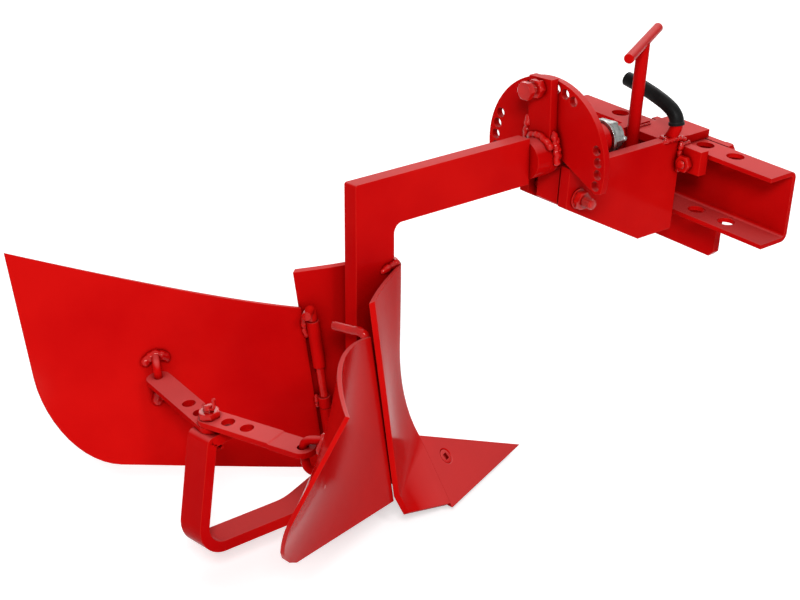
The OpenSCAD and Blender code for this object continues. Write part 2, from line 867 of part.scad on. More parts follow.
module pitch_nut() {
    color(paint) at_pivot() translate([pitch_x, 0, -pitch_drop]) {
        along_y(plate_half, pitch_head_h) difference() {
            hexagon(pitch_af);
            circle(d = pitch_d + 2 * run_gap);
        }
    }
}

module screw_bridge() {
    color(paint) at_pivot() translate([screw_x, 0, -bridge_drop - bridge_h]) difference() {
        translate([-bridge_len / 2, -plate_in, 0]) cube([bridge_len, 2 * plate_in, bridge_h]);
        translate([0, 0, -over]) cylinder(d = screw_d + 2 * run_gap, h = bridge_h + 2 * over);
    }
}

module adjusting_screw() {
    low = bridge_drop + bridge_h + side_gap + collar_h;
    color(paint) at_pivot() translate([screw_x, 0, 0]) difference() {
        union() {
            translate([0, 0, -low]) cylinder(d = screw_d, h = low + bar_h);
            translate([0, 0, -low]) cylinder(d = collar_d, h = collar_h);
            translate([0, 0, -bridge_drop + side_gap]) cylinder(d = collar_d, h = collar_h);
        }
        translate([0, 0, bar_h]) rotate([0, 0, bar_turn]) {
            along_x(-screw_d, 2 * screw_d) circle(d = bar_d + 2 * run_gap);
        }
    }
}

module cross_bar() {
    color(paint) at_pivot() translate([screw_x, 0, bar_h]) rotate([0, 0, bar_turn]) {
        along_x(-bar_len / 2, bar_len) circle(d = bar_d);
    }
}

// swivel tube with the arm that the screw raises and lowers
module swivel_carrier() {
    color(paint) at_pivot() difference() {
        union() {
            along_x(0, tube_len) circle(d = tube_d);
            along_y(-arm_t / 2, arm_t) carrier_profile();
        }
        along_x(-over, tube_len + 2 * over) circle(d = shaft_d + 2 * run_gap);
        along_y(-arm_t / 2 - over, arm_t + 2 * over) {
            pitch_hole();
            translate([screw_x, -pitch_drop]) circle(d = trunnion_d + 2 * run_gap);
        }
        translate([screw_x, 0, -pitch_drop - arm_end_r - over]) {
            cylinder(d = screw_d + 2 * screw_clear, h = 2 * (arm_end_r + over));
        }
    }
}

// room for the screw as the arm tilts
screw_clear = 1.5;
// room around the screw inside the trunnion
trunnion_clear = 0.4;

module carrier_profile() {
    translate([web_x, -pitch_drop - arm_h / 2]) square([tube_len - web_x, pitch_drop + arm_h / 2]);
    translate([pitch_x, -pitch_drop - arm_h / 2]) square([screw_x - pitch_x, arm_h]);
    translate([screw_x, -pitch_drop]) circle(r = arm_end_r);
    intersection() {
        translate([pitch_x, -pitch_drop]) circle(r = arm_boss_r);
        translate([web_x, -pitch_drop - arm_boss_r - over]) square([far, 2 * (arm_boss_r + over)]);
    }
}

module index_disc() {
    color(paint) at_pivot() along_x(0, disc_t) difference() {
        circle(r = disc_r, $fn = 144);
        circle(d = tube_d + 2 * run_gap);
        disc_vee();
        mirror([1, 0]) disc_vee();
        index_row(90 - (index_top_count - 1) * index_step / 2, index_top_count);
        index_row(-index_step, index_side_count);
        mirror([1, 0]) index_row(-index_step, index_side_count);
    }
}

// side groups start one step under the level
module index_row(start, count) {
    for (k = [0 : count - 1]) {
        rotate(start + k * index_step) translate([index_r, 0]) circle(d = index_hole_d);
    }
}

module disc_vee() {
    polygon([
        [0, vee_h],
        [horn_half, -horn_drop],
        [disc_r + over, -horn_drop + (disc_r + over - horn_half) * tan(horn_angle)],
        [disc_r + over, -disc_r - over],
        [0, -disc_r - over]
    ]);
}

module trunnion_nut() {
    color(zinc) at_pivot() translate([screw_x, 0, -pitch_drop]) difference() {
        along_y(-trunnion_len / 2, trunnion_len) circle(d = trunnion_d);
        translate([0, 0, -trunnion_d]) cylinder(d = screw_d + 2 * trunnion_clear, h = 2 * trunnion_d);
    }
}

module swivel_shaft() {
    color(paint) on_body() difference() {
        union() {
            along_x(-side_gap - strap_t, side_gap + strap_t + shaft_end) circle(d = shaft_d);
            along_x(-side_gap - strap_t - hub_len, hub_len) circle(d = hub_d);
        }
        translate([cotter_x, 0, 0]) along_y(-shaft_d, 2 * shaft_d) circle(d = cotter_d + 2 * run_gap);
    }
}

module shaft_washer() {
    color(zinc) on_body() along_x(tube_len + side_gap, washer_t) difference() {
        circle(d = washer_d);
        circle(d = shaft_d + 2 * run_gap);
    }
}

module castle_nut() {
    crown = castle_slot + over;
    color(zinc) on_body() difference() {
        union() {
            along_x(castle_x, castle_h - crown) hexagon(castle_af);
            along_x(castle_x, castle_h) circle(d = castle_af * crown_share);
        }
        along_x(castle_x - over, castle_h + 2 * over) circle(d = shaft_d + 2 * run_gap);
        for (k = [0 : 2]) rotate([k * 60, 0, 0]) {
            translate([castle_x + castle_h - castle_slot, -castle_af, -cotter_d / 2 - run_gap]) {
                cube([castle_slot + over, 2 * castle_af, cotter_d + 2 * run_gap]);
            }
        }
    }
}

module cotter_pin() {
    color(zinc) on_body() translate([cotter_x, 0, 0]) {
        along_y(-cotter_len / 2, cotter_len) circle(d = cotter_d);
        translate([0, -cotter_len / 2, 0]) sphere(d = cotter_head_d);
    }
}

module index_strap() {
    color(paint) on_body() along_x(-side_gap - strap_t, strap_t) difference() {
        union() {
            circle(d = hub_d);
            translate([-strap_w / 2, 0]) square([strap_w, strap_h]);
        }
        circle(d = shaft_d + 2 * run_gap);
        translate([0, index_r]) circle(d = index_bolt_d + 2 * run_gap);
    }
}

// the index bolt stands screwed back, with its tip inside the strap
module index_bolt() {
    color(paint) on_body() translate([0, 0, index_r]) {
        along_x(-index_head_x - over, index_head_x + over - 2 * side_gap) circle(d = index_bolt_d);
        along_x(-index_head_x - index_head_h, index_head_h) hexagon(index_af);
    }
}

module lock_nut() {
    color(paint) on_body() translate([0, 0, index_r]) {
        along_x(-side_gap - strap_t - lock_nut_h, lock_nut_h) difference() {
            hexagon(index_af);
            circle(d = index_bolt_d + 2 * run_gap);
        }
    }
}

// beam and leg in one piece
module shank() {
    beam_end = -side_gap - strap_t - hub_len;
    leg_front = -leg_back + leg_w;
    color(paint) on_body() along_y(-shank_t / 2, shank_t) {
        difference() {
            union() {
                translate([-leg_back, -beam_h / 2]) square([beam_end + leg_back, beam_h]);
                translate([-leg_back, -leg_drop]) square([leg_w, leg_drop]);
                translate([leg_front - over, -beam_h / 2 - shank_r]) square([shank_r + over, shank_r + over]);
            }
            translate([leg_front + shank_r, -beam_h / 2 - shank_r]) circle(r = shank_r);
            difference() {
                translate([-leg_back - over, beam_h / 2 - shank_corner_r]) {
                    square([shank_corner_r + over, shank_corner_r + over]);
                }
                translate([-leg_back + shank_corner_r, beam_h / 2 - shank_corner_r]) {
                    circle(r = shank_corner_r);
                }
            }
        }
    }
}

module breast() {
    n = nose_cols + breast_cols;
    color(paint) on_body() both() {
        shell([for (i = [0 : n]) breast_col(i)], [for (i = [0 : n]) breast_back(i)]);
    }
}

module knuckle(top, len) {
    translate([0, 0, top - len]) difference() {
        cylinder(d = knuckle_d, h = len);
        translate([0, 0, -over]) cylinder(d = hinge_pin_d + 2 * run_gap, h = len + 2 * over);
    }
}

module breast_knuckles() {
    color(paint) on_hinge() both() translate([0, hinge_half, 0]) {
        knuckle(-ring_end - side_gap, foot_len);
        translate([0, 0, -ring_end - side_gap - foot_len]) rotate([0, 0, 90 - breast_angle]) {
            linear_extrude(foot_len) difference() {
                translate([0, -leaf_w / 2]) square([leaf_len, leaf_w]);
                circle(d = knuckle_d - over);
            }
        }
    }
}

// roof-shaped share, cut off under its edge and along the seam
module share_blank(top, half, low) {
    polygon([
        [0, top],
        [half, top - half * roof_share],
        [half, low - half * roof_share],
        [0, low],
        [-half, low - half * roof_share],
        [-half, top - half * roof_share]
    ]);
}

module share() {
    wide = share_half + share_t;
    color(paint) on_body() difference() {
        on_share() along_x(-share_t, share_len + share_fall) share_blank(0, wide, -roof_depth);
        translate([-far, -far, -seam_drop - share_fall - far]) cube([2 * far, 2 * far, far]);
        translate(apex) rotate([0, seam_lean, 0]) translate([-far, -far, -far]) cube([far, 2 * far, 2 * far]);
        share_bolt_holes();
    }
}

module at_share_bolts() {
    both() on_share() translate([share_bolt_x, 0, 0]) {
        rotate([roof_half - 90, 0, 0]) translate([0, share_bolt_y, 0]) children();
    }
}

module share_bolt_holes() {
    at_share_bolts() {
        translate([0, 0, -share_bolt_len - run_gap]) {
            cylinder(d = share_bolt_d + 2 * run_gap, h = share_bolt_len + over);
        }
        translate([0, 0, -share_head_h]) {
            cylinder(d1 = share_bolt_d + 2 * run_gap, d2 = share_head_d + 2 * run_gap, h = share_head_h);
        }
    }
}

share_head_h = (share_head_d - share_bolt_d) / 2;

module share_bolts() {
    color(paint) on_body() at_share_bolts() {
        translate([0, 0, -share_bolt_len]) cylinder(d = share_bolt_d, h = share_bolt_len);
        translate([0, 0, -share_head_h]) cylinder(d1 = share_bolt_d, d2 = share_head_d, h = share_head_h);
    }
}

// support between the foot of the leg and the share
module frog() {
    deep = share_fall - share_t;
    color(paint) on_body() difference() {
        union() {
            difference() {
                on_share() along_x(share_t, frog_len) frog_section(frog_half, deep);
                translate(apex) rotate([0, seam_lean, 0]) {
                    translate([side_gap - far, -far, -far]) cube([far, 2 * far, 2 * far]);
                }
            }
            on_share() {
                along_x(-leg_w - share_len, leg_w + share_len + share_t + over) frog_section(frog_neck, deep);
            }
        }
        translate([-far, -far, -seam_drop - share_fall + share_t - far]) cube([2 * far, 2 * far, far]);
        translate([-far - leg_back + leg_w, -far, -far]) cube([far, 2 * far, 2 * far]);
        share_bolt_holes();
    }
}

module frog_section(half, deep) {
    polygon([
        [0, -roof_depth],
        [half, -roof_depth - half * roof_share],
        [half, -deep],
        [-half, -deep],
        [-half, -roof_depth - half * roof_share]
    ]);
}

// one bent flat bar from the tab under the links to the foot of the leg
module heel_strap() {
    ahead = [cos(hinge_lean), sin(hinge_lean)];
    spot = [tab_mid[0], tab_mid[2]];
    path = rounded_path([
        spot + tab_front * ahead,
        spot - tab_back * ahead,
        [-heel_back, -heel_drop],
        [-heel_run, -heel_drop],
        [-leg_back, -heel_end_drop]
    ], [tab_r, heel_r, heel_run_r]);
    color(paint) difference() {
        on_body() along_y(-heel_w / 2, heel_w) difference() {
            polygon(strip_outline(path, heel_t));
            translate([-leg_back, -far]) square([far, far]);
        }
        on_hinge() translate([-link_pin_back, 0, tab_r_top - heel_t - over]) {
            cylinder(d = link_pin_d + 2 * run_gap, h = heel_t + 2 * over);
        }
    }
}

// lower length of the link pin, in the tab of the heel strap
module pin_foot() {
    low = tab_r_top - heel_t - pin_foot_end;
    color(paint) on_hinge() translate([-link_pin_back, 0, low]) {
        cylinder(d = link_pin_d, h = heel_t + pin_foot_end);
        translate([0, 0, pin_foot_end / 2]) {
            along_y(-link_pin_d, 2 * link_pin_d) circle(d = clip_d);
        }
    }
}

module hinge_pin(arm, turn) {
    translate([0, hinge_half, 0]) {
        translate([0, 0, -pin_low]) cylinder(d = hinge_pin_d, h = pin_low + pin_rise);
        translate([0, 0, pin_rise]) {
            sphere(d = hinge_pin_d);
            rotate([0, 0, turn]) along_x(0, arm) circle(d = hinge_pin_d);
        }
    }
}

module hinge_pin_left() {
    color(paint) on_hinge() hinge_pin(pin_arm_left, pin_turn_left);
}

module hinge_pin_right() {
    color(paint) on_hinge() mirror([0, 1, 0]) hinge_pin(pin_arm_right, -90);
}

module wing() {
    shell(wing_skin(0), wing_skin(wing_t));
}

module wing_left() {
    color(paint) on_hinge() wing();
}

module wing_right() {
    color(paint) on_hinge() mirror([0, 1, 0]) wing();
}

module wing_knuckles() {
    translate([0, hinge_half, 0]) {
        knuckle(-knuckle_top, knuckle_len);
        knuckle(ring_len - ring_end, ring_len);
    }
}

module wing_knuckles_left() {
    color(paint) on_hinge() wing_knuckles();
}

module wing_knuckles_right() {
    color(paint) on_hinge() mirror([0, 1, 0]) wing_knuckles();
}

// bent bar on the inner face of a wing, with legs cut off at the sheet
function staple_leg(z) = staple_reach
    + ((z - eye_skin[2]) * eye_normal[2] - abs(eye_normal[2]) * staple_d / 2 - staple_seat) / eye_flat;

module wing_staple() {
    high = staple_mid + staple_h / 2;
    low = staple_mid - staple_h / 2;
    toward = atan2(-eye_normal[1], -eye_normal[0]);
    translate([eye[0], eye[1], 0]) rotate([0, 0, toward]) bent_rod(
        rounded_path(
            [[staple_leg(high), high], [0, high], [0, low], [staple_leg(low), low]],
            [staple_r, staple_r]
        ),
        staple_d
    );
}

module wing_staple_left() {
    color(paint) on_hinge() wing_staple();
}

module wing_staple_right() {
    color(paint) on_hinge() mirror([0, 1, 0]) wing_staple();
}

// outline of a link from the link pin to its wing staple
module link_outline() {
    difference() {
        union() {
            circle(d = link_w);
            translate([0, -link_w / 2]) square([link_len, link_w]);
            translate([link_len, 0]) circle(d = link_w);
        }
        for (k = [0 : 2]) translate([k * link_pitch, 0]) circle(d = link_hole_d);
        translate([link_len, 0]) circle(d = staple_d + 2 * run_gap);
    }
}

module at_link() {
    translate([-link_pin_back, 0, 0]) rotate([0, 0, link_turn]) children();
}

module link_left() {
    color(paint) on_hinge() at_link() along_z(low_r - link_t / 2, link_t) link_outline();
}

// the right link lies on top and steps down before its wing staple
module link_right() {
    end = link_len + link_w;
    color(paint) on_hinge() mirror([0, 1, 0]) at_link() intersection() {
        along_z(low_r - link_t, high_r - low_r + 2 * link_t) link_outline();
        along_y(-link_w, 2 * link_w) polygon([
            [-link_w, high_r - link_t / 2],
            [jog_start, high_r - link_t / 2],
            [jog_start + jog_len, low_r - link_t / 2],
            [end, low_r - link_t / 2],
            [end, low_r + link_t / 2],
            [jog_start + jog_len, low_r + link_t / 2],
            [jog_start, high_r + link_t / 2],
            [-link_w, high_r + link_t / 2]
        ]);
    }
}

// upper length of the link pin, in the right link
module link_pin() {
    top = high_r + link_t / 2;
    color(paint) on_hinge() translate([-link_pin_back, 0, top]) {
        translate([0, 0, -link_t]) cylinder(d = link_pin_d, h = link_t + link_nut_h + link_pin_end);
        linear_extrude(link_nut_h) hexagon(link_nut_af);
    }
}

module spring_clip() {
    z = high_r + link_t / 2 + link_nut_h + link_pin_end + clip_d / 2;
    color(paint) on_hinge() translate([-link_pin_back, 0, z]) {
        along_y(-link_pin_d / 2, link_pin_d) circle(d = clip_d);
        translate([0, -link_pin_d / 2 + clip_d / 2, 0]) rotate([clip_tilt, 0, 0]) cylinder(d = clip_d, h = clip_arm);
    }
}

// lean of the arm of the spring clip
clip_tilt = 25;

drawbar_channel();
top_plate();
front_plate();
side_plate_left();
side_plate_right();
clamp_lugs();
clamp_bolts();
clamp_nuts();
carry_handle();
handle_grip();
pitch_bolt();
pitch_nut();
screw_bridge();
adjusting_screw();
cross_bar();
swivel_carrier();
index_disc();
trunnion_nut();
swivel_shaft();
shaft_washer();
castle_nut();
cotter_pin();
index_strap();
index_bolt();
lock_nut();
shank();
breast();
breast_knuckles();
frog();
share();
share_bolts();
heel_strap();
pin_foot();
hinge_pin_left();
hinge_pin_right();
wing_left();
wing_right();
wing_knuckles_left();
wing_knuckles_right();
wing_staple_left();
wing_staple_right();
link_left();
link_right();
link_pin();
spring_clip();
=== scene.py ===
import bpy
import json
import math
from mathutils import Matrix, Vector


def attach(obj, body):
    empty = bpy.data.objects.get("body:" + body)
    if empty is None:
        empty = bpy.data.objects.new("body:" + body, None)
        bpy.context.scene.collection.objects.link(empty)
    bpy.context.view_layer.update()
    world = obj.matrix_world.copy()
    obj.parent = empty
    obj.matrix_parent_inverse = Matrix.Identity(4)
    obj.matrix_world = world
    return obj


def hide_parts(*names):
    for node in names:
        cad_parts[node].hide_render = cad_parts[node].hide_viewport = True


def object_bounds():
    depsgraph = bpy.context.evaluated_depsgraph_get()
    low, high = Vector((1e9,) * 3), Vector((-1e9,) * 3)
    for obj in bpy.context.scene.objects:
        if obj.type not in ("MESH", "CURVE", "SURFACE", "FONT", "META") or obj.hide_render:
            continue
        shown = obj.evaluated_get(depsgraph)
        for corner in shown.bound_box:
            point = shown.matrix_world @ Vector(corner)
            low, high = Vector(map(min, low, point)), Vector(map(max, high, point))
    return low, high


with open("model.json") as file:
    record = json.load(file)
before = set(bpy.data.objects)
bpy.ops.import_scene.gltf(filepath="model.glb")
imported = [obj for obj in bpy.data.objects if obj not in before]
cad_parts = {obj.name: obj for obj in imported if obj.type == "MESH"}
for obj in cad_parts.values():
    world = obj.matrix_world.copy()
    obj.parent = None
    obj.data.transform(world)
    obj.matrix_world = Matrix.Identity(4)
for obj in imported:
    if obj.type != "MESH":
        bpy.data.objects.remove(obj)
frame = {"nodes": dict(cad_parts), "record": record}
cadLow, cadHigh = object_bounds()
print("stage 1: frame loaded with", len(frame["nodes"]), "nodes")

mm = 0.001
mergeGap = 0.00001  # metres; points nearer than this become one
layout = {
    "pivot": (-217.0, 0.0, 21.0),  # swivel axis at the rear face of the disc
    "roll": -5.0,  # the ridging body stands half an index step over
    "hinge": (-287.0, 0.0, -114.0),  # top of the wing hinges, from the swivel axis
    "lean": 9.0,  # the hinges lean back
}
hitchPlace = Matrix.Translation(Vector(layout["pivot"]) * mm)
bodyPlace = hitchPlace @ Matrix.Rotation(math.radians(layout["roll"]), 4, "X")
hingePlace = bodyPlace @ Matrix.Translation(Vector(layout["hinge"]) * mm)
hingePlace = hingePlace @ Matrix.Rotation(math.radians(-layout["lean"]), 4, "Y")
places = {"hitch": hitchPlace, "body": bodyPlace, "hinge": hingePlace}

bodyOf = {}
for bodyName, members in frame["record"]["behaviour"]["bodies"].items():
    for member in members:
        bodyOf[member] = bodyName
slotOf = {part["node"]: part["material_slot"] for part in frame["record"]["subparts"]}


def addObject(name, data):
    item = bpy.data.objects.new(name, data)
    bpy.context.scene.collection.objects.link(item)
    return item


cameraSettings = {
    "place": (-1.58964, -1.21961, 0.69281),
    "heading": 46.0255,
    "tilt": 24.94,
    "roll": 3.9154,
    "lens": 83.638,
    "sensor": 36.0,
    "clip": (0.05, 50.0),
}


def makeCamera(settings):
    data = bpy.data.cameras.new("photoCamera")
    data.sensor_fit = "HORIZONTAL"
    data.sensor_width = settings["sensor"]
    data.lens = settings["lens"]
    data.clip_start, data.clip_end = settings["clip"]
    camera = addObject("photoCamera", data)
    heading = math.radians(settings["heading"])
    tilt = math.radians(settings["tilt"])
    roll = math.radians(settings["roll"])
    level = math.cos(tilt)
    ahead = Vector((math.cos(heading) * level, math.sin(heading) * level, -math.sin(tilt)))
    right = Vector((math.sin(heading), -math.cos(heading), 0.0))
    up = right.cross(ahead)
    rolledRight = right * math.cos(roll) + up * math.sin(roll)
    rolledUp = up * math.cos(roll) - right * math.sin(roll)
    turn = Matrix((rolledRight, rolledUp, -ahead)).transposed()
    camera.rotation_mode = "QUATERNION"
    camera.rotation_quaternion = turn.to_quaternion()
    camera.location = settings["place"]
    bpy.context.scene.camera = camera


makeCamera(cameraSettings)

paintSettings = {
    "name": "redPaint",
    "metallic": 0.0,
    "light": (0.74, 0.006, 0.005, 1.0),
    "deep": (0.60, 0.002, 0.003, 1.0),
    "edgeTone": (0.80, 0.035, 0.022, 1.0),  # thin paint on the corners
    "patchScale": 7.0,
    "gloss": (0.10, 0.20),
    "specular": 0.010,
    "specularTint": (1.0, 0.6, 0.5, 1.0),
    "corner": (0.16, 0.0, 0.0, 1.0),  # shade in the seams between two pieces
    "paintedTopSheen": (0.88, 0.17, 0.165, 1.0),  # painted sheen: a pale tone on the faces that look up, standing in for the reflection of the bright light overhead
    "paintedTopSheenShare": 0.50,
    "shelter": 0.07,  # how near a thing shelters a face, in metres
    "paintedShadeTone": (0.34, 0.001, 0.001, 1.0),  # painted shade: the darker red of the sheltered faces
    "peelScale": 260.0,  # orange peel of the sprayed coat
    "peelHeight": 0.05,
    "edge": 0.0011,
}
beadSettings = {
    "name": "glossPaint",
    "metallic": 0.0,
    "light": (0.74, 0.008, 0.006, 1.0),
    "deep": (0.50, 0.002, 0.003, 1.0),
    "edgeTone": (0.80, 0.035, 0.022, 1.0),
    "patchScale": 60.0,
    "gloss": (0.07, 0.15),
    "specular": 0.30,
    "specularTint": (1.0, 0.72, 0.68, 1.0),
    # painted shade in the seams between two pieces
    "corner": (0.12, 0.0, 0.0, 1.0),
    "peelScale": 330.0,
    "peelHeight": 0.30,
    "edge": 0.0008,
}
zincSettings = {
    "name": "zincPlate",
    "metallic": 1.0,
    "light": (0.42, 0.44, 0.43, 1.0),
    "deep": (0.13, 0.14, 0.13, 1.0),
    "edgeTone": (0.56, 0.57, 0.55, 1.0),
    "patchScale": 90.0,
    "gloss": (0.20, 0.42),
    "peelScale": 600.0,
    "peelHeight": 0.06,
    "edge": 0.0006,
}
rubberSettings = {
    "name": "blackRubber",
    "metallic": 0.0,
    "light": (0.012, 0.012, 0.012, 1.0),
    "deep": (0.006, 0.006, 0.006, 1.0),
    "edgeTone": (0.026, 0.026, 0.026, 1.0),
    "patchScale": 60.0,
    "gloss": (0.34, 0.52),
    "specular": 0.07,
    "specularTint": (1.0, 1.0, 1.0, 1.0),
    "peelScale": 700.0,
    "peelHeight": 0.25,
    "edge": 0.0012,
}
# shared by all four finishes
coatSettings = {
    "patchDetail": 4.0,
    "toneSpan": (0.33, 0.66),
    "bevelSamples": 4,
    "shadeSamples": 6,
    "rubSpan": (0.995, 0.86),  # turn of the corner, from full coat to thin coat
    "rubShare": (0.0, 0.75),
    "riseSpan": (0.52, 0.88),  # upward part of the normal, from no painted sheen to the full painted sheen
    "openSpan": (0.30, 0.85),  # from sheltered to open
    # reach and span of the painted shade in the seams
    "seamReach": 0.009,
    "seamSpan": (0.25, 0.80),
    "grainDetail": 2.0,
    "grainDepth": 0.0004,
    "glossSpan": (0.3, 0.7),
}


def freshNodes(owner):
    owner.use_nodes = True
    owner.node_tree.nodes.clear()
    return owner.node_tree.nodes, owner.node_tree.links


def noiseNode(nodes, links, place, scale, detail):
    noise = nodes.new("ShaderNodeTexNoise")
    noise.inputs["Scale"].default_value = scale
    noise.inputs["Detail"].default_value = detail
    links.new(place, noise.inputs["Vector"])
    return noise.outputs["Fac"]


def spanNode(nodes, links, value, source, target=(0.0, 1.0)):
    span = nodes.new("ShaderNodeMapRange")
    for name, number in zip(("From Min", "From Max", "To Min", "To Max"), (*source, *target)):
        span.inputs[name].default_value = number
    links.new(value, span.inputs["Value"])
    return span.outputs["Result"]


def mixNode(nodes, links, factor, first, second):
    # first and second are each a colour or the output of another node
    mix = nodes.new("ShaderNodeMix")
    mix.data_type = "RGBA"
    sockets = [socket for socket in mix.inputs if socket.type == "RGBA"]
    for socket, tone in zip(sockets, (first, second)):
        if isinstance(tone, tuple):
            socket.default_value = tone
        else:
            links.new(tone, socket)
    links.new(factor, mix.inputs["Factor"])
    return [socket for socket in mix.outputs if socket.type == "RGBA"][0]


def openNode(nodes, distance, samples):
    shade = nodes.new("ShaderNodeAmbientOcclusion")
    shade.samples = samples
    shade.inputs["Distance"].default_value = distance
    return shade.outputs["AO"]


def mathNode(nodes, links, operation, first, second):
    sums = nodes.new("ShaderNodeMath")
    sums.operation = operation
    links.new(first, sums.inputs[0])
    if isinstance(second, float):
        sums.inputs[1].default_value = second
    else:
        links.new(second, sums.inputs[1])
    return sums.outputs["Value"]


def makeFinish(settings, coat):
    material = bpy.data.materials.new(settings["name"])
    nodes, links = freshNodes(material)
    output = nodes.new("ShaderNodeOutputMaterial")
    shader = nodes.new("ShaderNodeBsdfPrincipled")
    links.new(shader.outputs["BSDF"], output.inputs["Surface"])
    shader.inputs["Metallic"].default_value = settings["metallic"]
    place = nodes.new("ShaderNodeTexCoord")
    spot = place.outputs["Object"]

    # slow change of tone over the surface
    patch = noiseNode(nodes, links, spot, settings["patchScale"], coat["patchDetail"])
    ramp = nodes.new("ShaderNodeValToRGB")
    tones = (settings["deep"], settings["light"])
    for element, position, tone in zip(ramp.color_ramp.elements, coat["toneSpan"], tones):
        element.position = position
        element.color = tone
    links.new(patch, ramp.inputs["Fac"])

    # rounded corners, and a paler tone where the coat is thin on them
    bevel = nodes.new("ShaderNodeBevel")
    bevel.samples = coat["bevelSamples"]
    bevel.inputs["Radius"].default_value = settings["edge"]
    plain = nodes.new("ShaderNodeNewGeometry")
    lean = nodes.new("ShaderNodeVectorMath")
    lean.operation = "DOT_PRODUCT"
    links.new(bevel.outputs["Normal"], lean.inputs[0])
    links.new(plain.outputs["Normal"], lean.inputs[1])
    rub = spanNode(nodes, links, lean.outputs["Value"], coat["rubSpan"], coat["rubShare"])
    tone = mixNode(nodes, links, rub, ramp.outputs["Color"], settings["edgeTone"])
    if "paintedTopSheen" in settings:
        # painted sheen: the open faces that look up get a paler tone, as if they reflected the
        # light overhead
        parts = nodes.new("ShaderNodeSeparateXYZ")
        links.new(place.outputs["Normal"], parts.inputs["Vector"])
        share = (0.0, settings["paintedTopSheenShare"])
        sheenFacing = spanNode(nodes, links, parts.outputs["Z"], coat["riseSpan"], share)
        # painted shade: sheltered places get none of the painted sheen and a darker red
        shelter = openNode(nodes, settings["shelter"], coat["shadeSamples"])
        bare = spanNode(nodes, links, shelter, coat["openSpan"])
        reach = mathNode(nodes, links, "MULTIPLY", sheenFacing, bare)
        tone = mixNode(nodes, links, bare, settings["paintedShadeTone"], tone)
        tone = mixNode(nodes, links, reach, tone, settings["paintedTopSheen"])
    # painted shade: a darker red in the seams and creases, where another surface is near
    if "corner" in settings:
        near = openNode(nodes, coat["seamReach"], coat["shadeSamples"])
        depth = spanNode(nodes, links, near, coat["seamSpan"])
        tone = mixNode(nodes, links, depth, settings["corner"], tone)
    links.new(tone, shader.inputs["Base Color"])

    # gloss and fine relief
    grain = noiseNode(nodes, links, spot, settings["peelScale"], coat["grainDetail"])
    gloss = spanNode(nodes, links, patch, coat["glossSpan"], settings["gloss"])
    links.new(gloss, shader.inputs["Roughness"])
    bump = nodes.new("ShaderNodeBump")
    bump.inputs["Strength"].default_value = settings["peelHeight"]
    bump.inputs["Distance"].default_value = coat["grainDepth"]
    links.new(grain, bump.inputs["Height"])
    links.new(bevel.outputs["Normal"], bump.inputs["Normal"])
    links.new(bump.outputs["Normal"], shader.inputs["Normal"])
    if "specular" in settings:
        shader.inputs["Specular IOR Level"].default_value = settings["specular"]
        shader.inputs["Specular Tint"].default_value = settings["specularTint"]
    return material


materials = {
    "paint": makeFinish(paintSettings, coatSettings),
    "bead": makeFinish(beadSettings, coatSettings),
    "zinc": makeFinish(zincSettings, coatSettings),
    "rubber": makeFinish(rubberSettings, coatSettings),
}
print("stage 2: materials made")


def clearPick():
    bpy.ops.object.select_all(action="DESELECT")


def pick(piece):
    clearPick()
    piece.select_set(True)
    bpy.context.view_layer.objects.active = piece


def setMode(mode):
    bpy.ops.object.mode_set(mode=mode)


def selectAll():
    bpy.ops.mesh.select_all(action="SELECT")


def editAll():
    setMode("EDIT")
    selectAll()


def roundEdges(piece, width, segments, angle):
    rounding = piece.modifiers.new("edgeRound", "BEVEL")
    rounding.width = width * mm
    rounding.segments = segments
    rounding.limit_method = "ANGLE"
    rounding.angle_limit = math.radians(angle)


def cutWith(piece, cutter, operation):
    cut = piece.modifiers.new("cut", "BOOLEAN")
    cut.operation = operation
    cut.object = cutter
    cut.solver = "EXACT"


def applyAll(piece):
    pick(piece)
    for name in [modifier.name for modifier in piece.modifiers]:
        bpy.ops.object.modifier_apply(modifier=name)


def shadeSmooth(angle):
    bpy.ops.object.shade_smooth_by_angle(angle=math.radians(angle))


def levelNormals(piece):
    # keeps the flat faces flat beside their rounded edges
    level = piece.modifiers.new("levelNormals", "WEIGHTED_NORMAL")
    level.mode = "FACE_AREA"
    level.weight = 100
    level.keep_sharp = True
    applyAll(piece)


def bakePlace():
    bpy.ops.object.transform_apply(location=True, rotation=True, scale=True)


def moveMesh(piece, matrix):
    # the place goes into the mesh, so that the object stays at the origin
    pick(piece)
    piece.matrix_world = matrix @ piece.matrix_world
    bakePlace()


def joinPieces(pieces, name):
    clearPick()
    for piece in pieces:
        piece.select_set(True)
    bpy.context.view_layer.objects.active = pieces[0]
    if len(pieces) > 1:
        bpy.ops.object.join()
    pieces[0].name = name
    return pieces[0]


def curveMesh(name, data):
    pick(addObject(name, data))
    bpy.ops.object.convert(target="MESH")
    return bpy.context.object


def nodeCopy(node, name):
    piece = addObject(name, frame["nodes"][node].data.copy())
    pick(piece)
    if piece.data.has_custom_normals:
        bpy.ops.mesh.customdata_custom_splitnormals_clear()
    return piece


def finishPiece(piece, slotName, body, stands=(), finish=None):
    piece.data.materials.clear()
    piece.data.materials.append(materials[finish or slotName])
    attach(piece, body)
    if stands:
        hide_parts(*stands)


def standFor(piece, node, finish=None):
    finishPiece(piece, slotOf[node], bodyOf[node], (node,), finish)


# bent round bars: the carry handle, the hinge pins and the split pin
barSettings = {
    "resolution": 10,
    "bevelResolution": 9,
    "segments": 4,
    "edgeAngle": 50.0,
    "smooth": 40.0,
}


